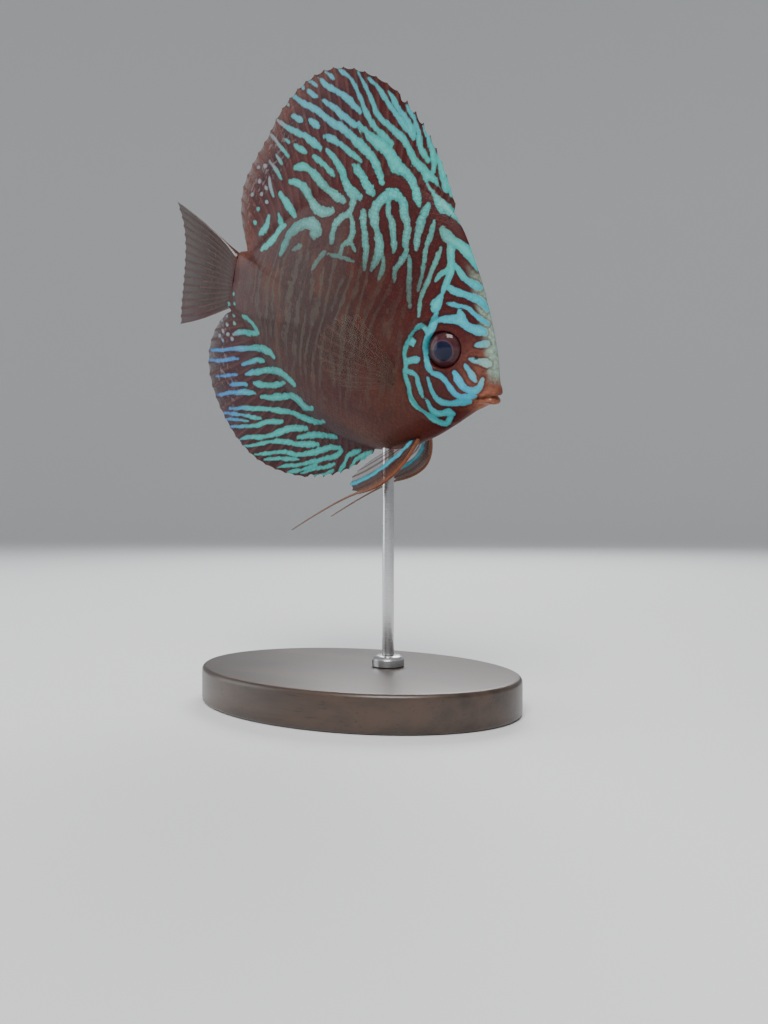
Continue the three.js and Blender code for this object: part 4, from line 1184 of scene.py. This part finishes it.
class DISCUS_OT_eyes(bpy.types.Operator):
    """Builds the two glossy eyes with their dark red irises"""

    bl_idname = "discus.eyes"
    bl_label = "Eyes"

    def execute(self, context):
        fish, paint, _ = settings()
        material = eye_material(paint)
        radius = fish.eye_radius
        for name, side in SIDES.items():
            bpy.ops.object.select_all(action="DESELECT")
            on_its_side = (math.pi / 2, 0, 0)
            bpy.ops.mesh.primitive_uv_sphere_add(segments=72, ring_count=40, radius=1, rotation=on_its_side)
            eye = bpy.context.object
            eye.name = f"eye_{name}_dressed"
            bpy.ops.object.transform_apply(location=False, rotation=True, scale=False)
            shape = np.array([v.co for v in eye.data.vertices])
            out = np.hypot(shape[:, 0], shape[:, 2])
            pupil = np.exp(-(out / 0.5) ** 4)
            put_value(eye, "from_pupil", np.where(shape[:, 1] * side > 0, out, 1.0))
            shape[:, 1] *= 1 + 0.1 * pupil
            shape = shape * np.array([radius, EYE_DEPTH, radius]) / MM
            tilt = np.array(Matrix.Rotation(math.radians(-EYE_TOE_OUT * side), 3, "Z"))
            shape = shape @ tilt.T
            half = float(surface_half(fish.eye_u / MM, fish.eye_v / MM, fish.half_width / MM))
            shape += np.array([fish.eye_u / MM, side * (half + 1.1 - EYE_DEPTH / MM), fish.eye_v / MM])
            put_place(eye, shape)
            move_points(eye, shape, fish)
            bpy.ops.object.shade_smooth()
            finish_piece(eye, material, "eye", f"eye_{name}")
        return {"FINISHED"}


# The stand

class DISCUS_OT_stand(bpy.types.Operator):
    """Dresses the oval base, the rod and its collar"""

    bl_idname = "discus.stand"
    bl_label = "Stand"

    def execute(self, context):
        _, _, stand = settings()
        low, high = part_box("stand_base")
        bpy.ops.object.select_all(action="DESELECT")
        bpy.ops.mesh.primitive_cylinder_add(vertices=160, radius=0.5, depth=1, location=(low + high) / 2)
        base = bpy.context.object
        base.name = "stand_base_dressed"
        base.scale = high - low
        bpy.ops.object.transform_apply(location=True, rotation=False, scale=True)
        edge = base.modifiers.new("edge", "BEVEL")
        edge.width, edge.segments, edge.limit_method = stand.bevel, 5, "ANGLE"
        bpy.ops.object.modifier_apply(modifier=edge.name)
        bpy.ops.object.shade_smooth_by_angle(angle=math.radians(30))
        finish_piece(base, wood_material(stand), "base", "stand_base")
        steel = steel_material()
        self.round_bar("stand_rod_dressed", "stand_rod", steel, 0.0003)
        self.collar("stand_collar_dressed", "stand_collar", steel)
        return {"FINISHED"}

    def round_bar(self, name, node, material, edge_size):
        low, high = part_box(node)
        bpy.ops.object.select_all(action="DESELECT")
        radius = (high.x - low.x) / 2
        centre = (low + high) / 2
        bpy.ops.mesh.primitive_cylinder_add(vertices=64, radius=radius, depth=high.z - low.z, location=centre)
        rod = bpy.context.object
        rod.name = name
        bpy.ops.object.transform_apply(location=True, rotation=False, scale=False)
        edge = rod.modifiers.new("edge", "BEVEL")
        edge.width, edge.segments, edge.limit_method = edge_size, 3, "ANGLE"
        bpy.ops.object.modifier_apply(modifier=edge.name)
        bpy.ops.object.shade_smooth_by_angle(angle=math.radians(30))
        finish_piece(rod, material, "metal", node)

    def collar(self, name, node, material):
        low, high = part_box(node)
        radius, bore = (high.x - low.x) / 2, 0.0022
        tall = high.z - low.z
        centre = (low + high) / 2
        profile = [
            (bore, 0), (radius, 0), (radius, tall * 0.62), (radius - 0.0006, tall * 0.86),
            (radius - 0.0016, tall), (bore, tall),
        ]
        count = 72
        turn = np.arange(count) / count * 2 * np.pi
        points = [
            (centre.x + r * math.cos(a), centre.y + r * math.sin(a), low.z + z)
            for r, z in profile for a in turn
        ]
        faces = [tuple(f) for f in grid_faces(len(profile), count, True)]
        last = (len(profile) - 1) * count
        faces += [(last + i, last + (i + 1) % count, (i + 1) % count, i) for i in range(count)]
        ring = new_piece(name, points, faces)
        only(ring)
        bpy.ops.object.shade_smooth_by_angle(angle=math.radians(30))
        finish_piece(ring, material, "metal", node)


# The room

class DISCUS_OT_studio(bpy.types.Operator):
    """Sets out the pale floor, the soft lights and the camera at the photograph's angle"""

    bl_idname = "discus.studio"
    bl_label = "Studio"

    def execute(self, context):
        scene = context.scene
        self.floor()
        for name, place, aim, size, power, tint in (
            ("key", (0.35, -0.8, 1.05), (0, 0, 0.11), 0.6, 19, (1, 0.98, 0.95)),
            ("fill", (-0.95, -0.45, 0.4), (0, 0, 0.11), 0.8, 4.5, (0.93, 0.97, 1)),
            ("back", (-0.4, 0.85, 0.8), (0, 0, 0.13), 0.6, 9, (1, 1, 1)),
        ):
            light = bpy.data.lights.new(name, "AREA")
            light.size, light.energy, light.color = size, power, tint
            lamp = bpy.data.objects.new(name, light)
            scene.collection.objects.link(lamp)
            lamp.location = place
            lamp.rotation_euler = (Vector(aim) - Vector(place)).to_track_quat("-Z", "Y").to_euler()
        world = bpy.data.worlds.new("studio")
        world.use_nodes = True
        world.node_tree.nodes["Background"].inputs["Color"].default_value = (0.9, 0.93, 0.96, 1)
        world.node_tree.nodes["Background"].inputs["Strength"].default_value = 0.4
        scene.world = world
        camera = bpy.data.cameras.new("camera")
        camera.lens, camera.sensor_width, camera.sensor_fit = CAMERA_LENS, 36, "AUTO"
        camera.clip_start = 0.005
        holder = bpy.data.objects.new("camera", camera)
        scene.collection.objects.link(holder)
        fish = settings()[0]
        holder.location = (*CAMERA_PLACE, fish.height - CAMERA_BELOW_FISH)
        holder.rotation_euler = (math.pi / 2, 0, math.radians(CAMERA_TURN))
        scene.camera = holder
        return {"FINISHED"}

    def floor(self):
        """A pale floor that curves up far behind the fish, open on every side of it."""
        rising = np.linspace(0.2, math.pi / 2, 8)
        radii = np.concatenate([[0, 0.25, 0.6, 1.2, 2.0], 2.0 + 1.2 * np.sin(rising)])
        heights = np.concatenate([[0] * 5, 1.2 - 1.2 * np.cos(rising)])
        radii, heights = np.append(radii, 3.2), np.append(heights, 3.4)
        count = 96
        turn = np.arange(count) / count * 2 * np.pi
        points = [(r * math.cos(a), r * math.sin(a), z) for r, z in zip(radii[1:], heights[1:]) for a in turn]
        points += [(0, 0, 0)]
        faces = [tuple(reversed(f)) for f in grid_faces(len(radii) - 1, count, True).tolist()]
        faces += [(len(points) - 1, i, (i + 1) % count) for i in range(count)]
        floor = new_piece("studio_floor", points, faces)
        shop = Shop("pale floor")
        floor.data.materials.append(shop.principled(Base_Color=(0.78, 0.79, 0.8, 1), Roughness=0.75))


# The add-on

PIECES = (
    DISCUS_OT_skin, DISCUS_OT_tall_fins, DISCUS_OT_tail_fin, DISCUS_OT_pectoral_fins,
    DISCUS_OT_pelvic_fins, DISCUS_OT_eyes, DISCUS_OT_stand, DISCUS_OT_studio,
)


class DISCUS_PT_panel(bpy.types.Panel):
    """Lists the pieces of the fish and its stand"""

    bl_idname = "DISCUS_PT_panel"
    bl_label = "Discus fish"
    bl_space_type = "VIEW_3D"
    bl_region_type = "UI"
    bl_category = "Discus"

    def draw(self, context):
        for piece in PIECES:
            self.layout.operator(piece.bl_idname)
        for group in settings():
            for name in group.bl_rna.properties.keys():
                if name not in ("rna_type", "name"):
                    self.layout.prop(group, name)


GROUPS = {"discus_sizes": FishSizes, "discus_colours": FishColours, "discus_stand": StandSizes}


def register():
    for kind in (*GROUPS.values(), *PIECES, DISCUS_PT_panel):
        bpy.utils.register_class(kind)
    for name, kind in GROUPS.items():
        setattr(bpy.types.Scene, name, bpy.props.PointerProperty(type=kind))


def unregister():
    for name in GROUPS:
        delattr(bpy.types.Scene, name)
    for kind in reversed((*GROUPS.values(), *PIECES, DISCUS_PT_panel)):
        bpy.utils.unregister_class(kind)


def main():
    register()
    for piece in PIECES:
        category, name = piece.bl_idname.split(".")
        getattr(getattr(bpy.ops, category), name)()


if __name__ == "__main__":
    main()
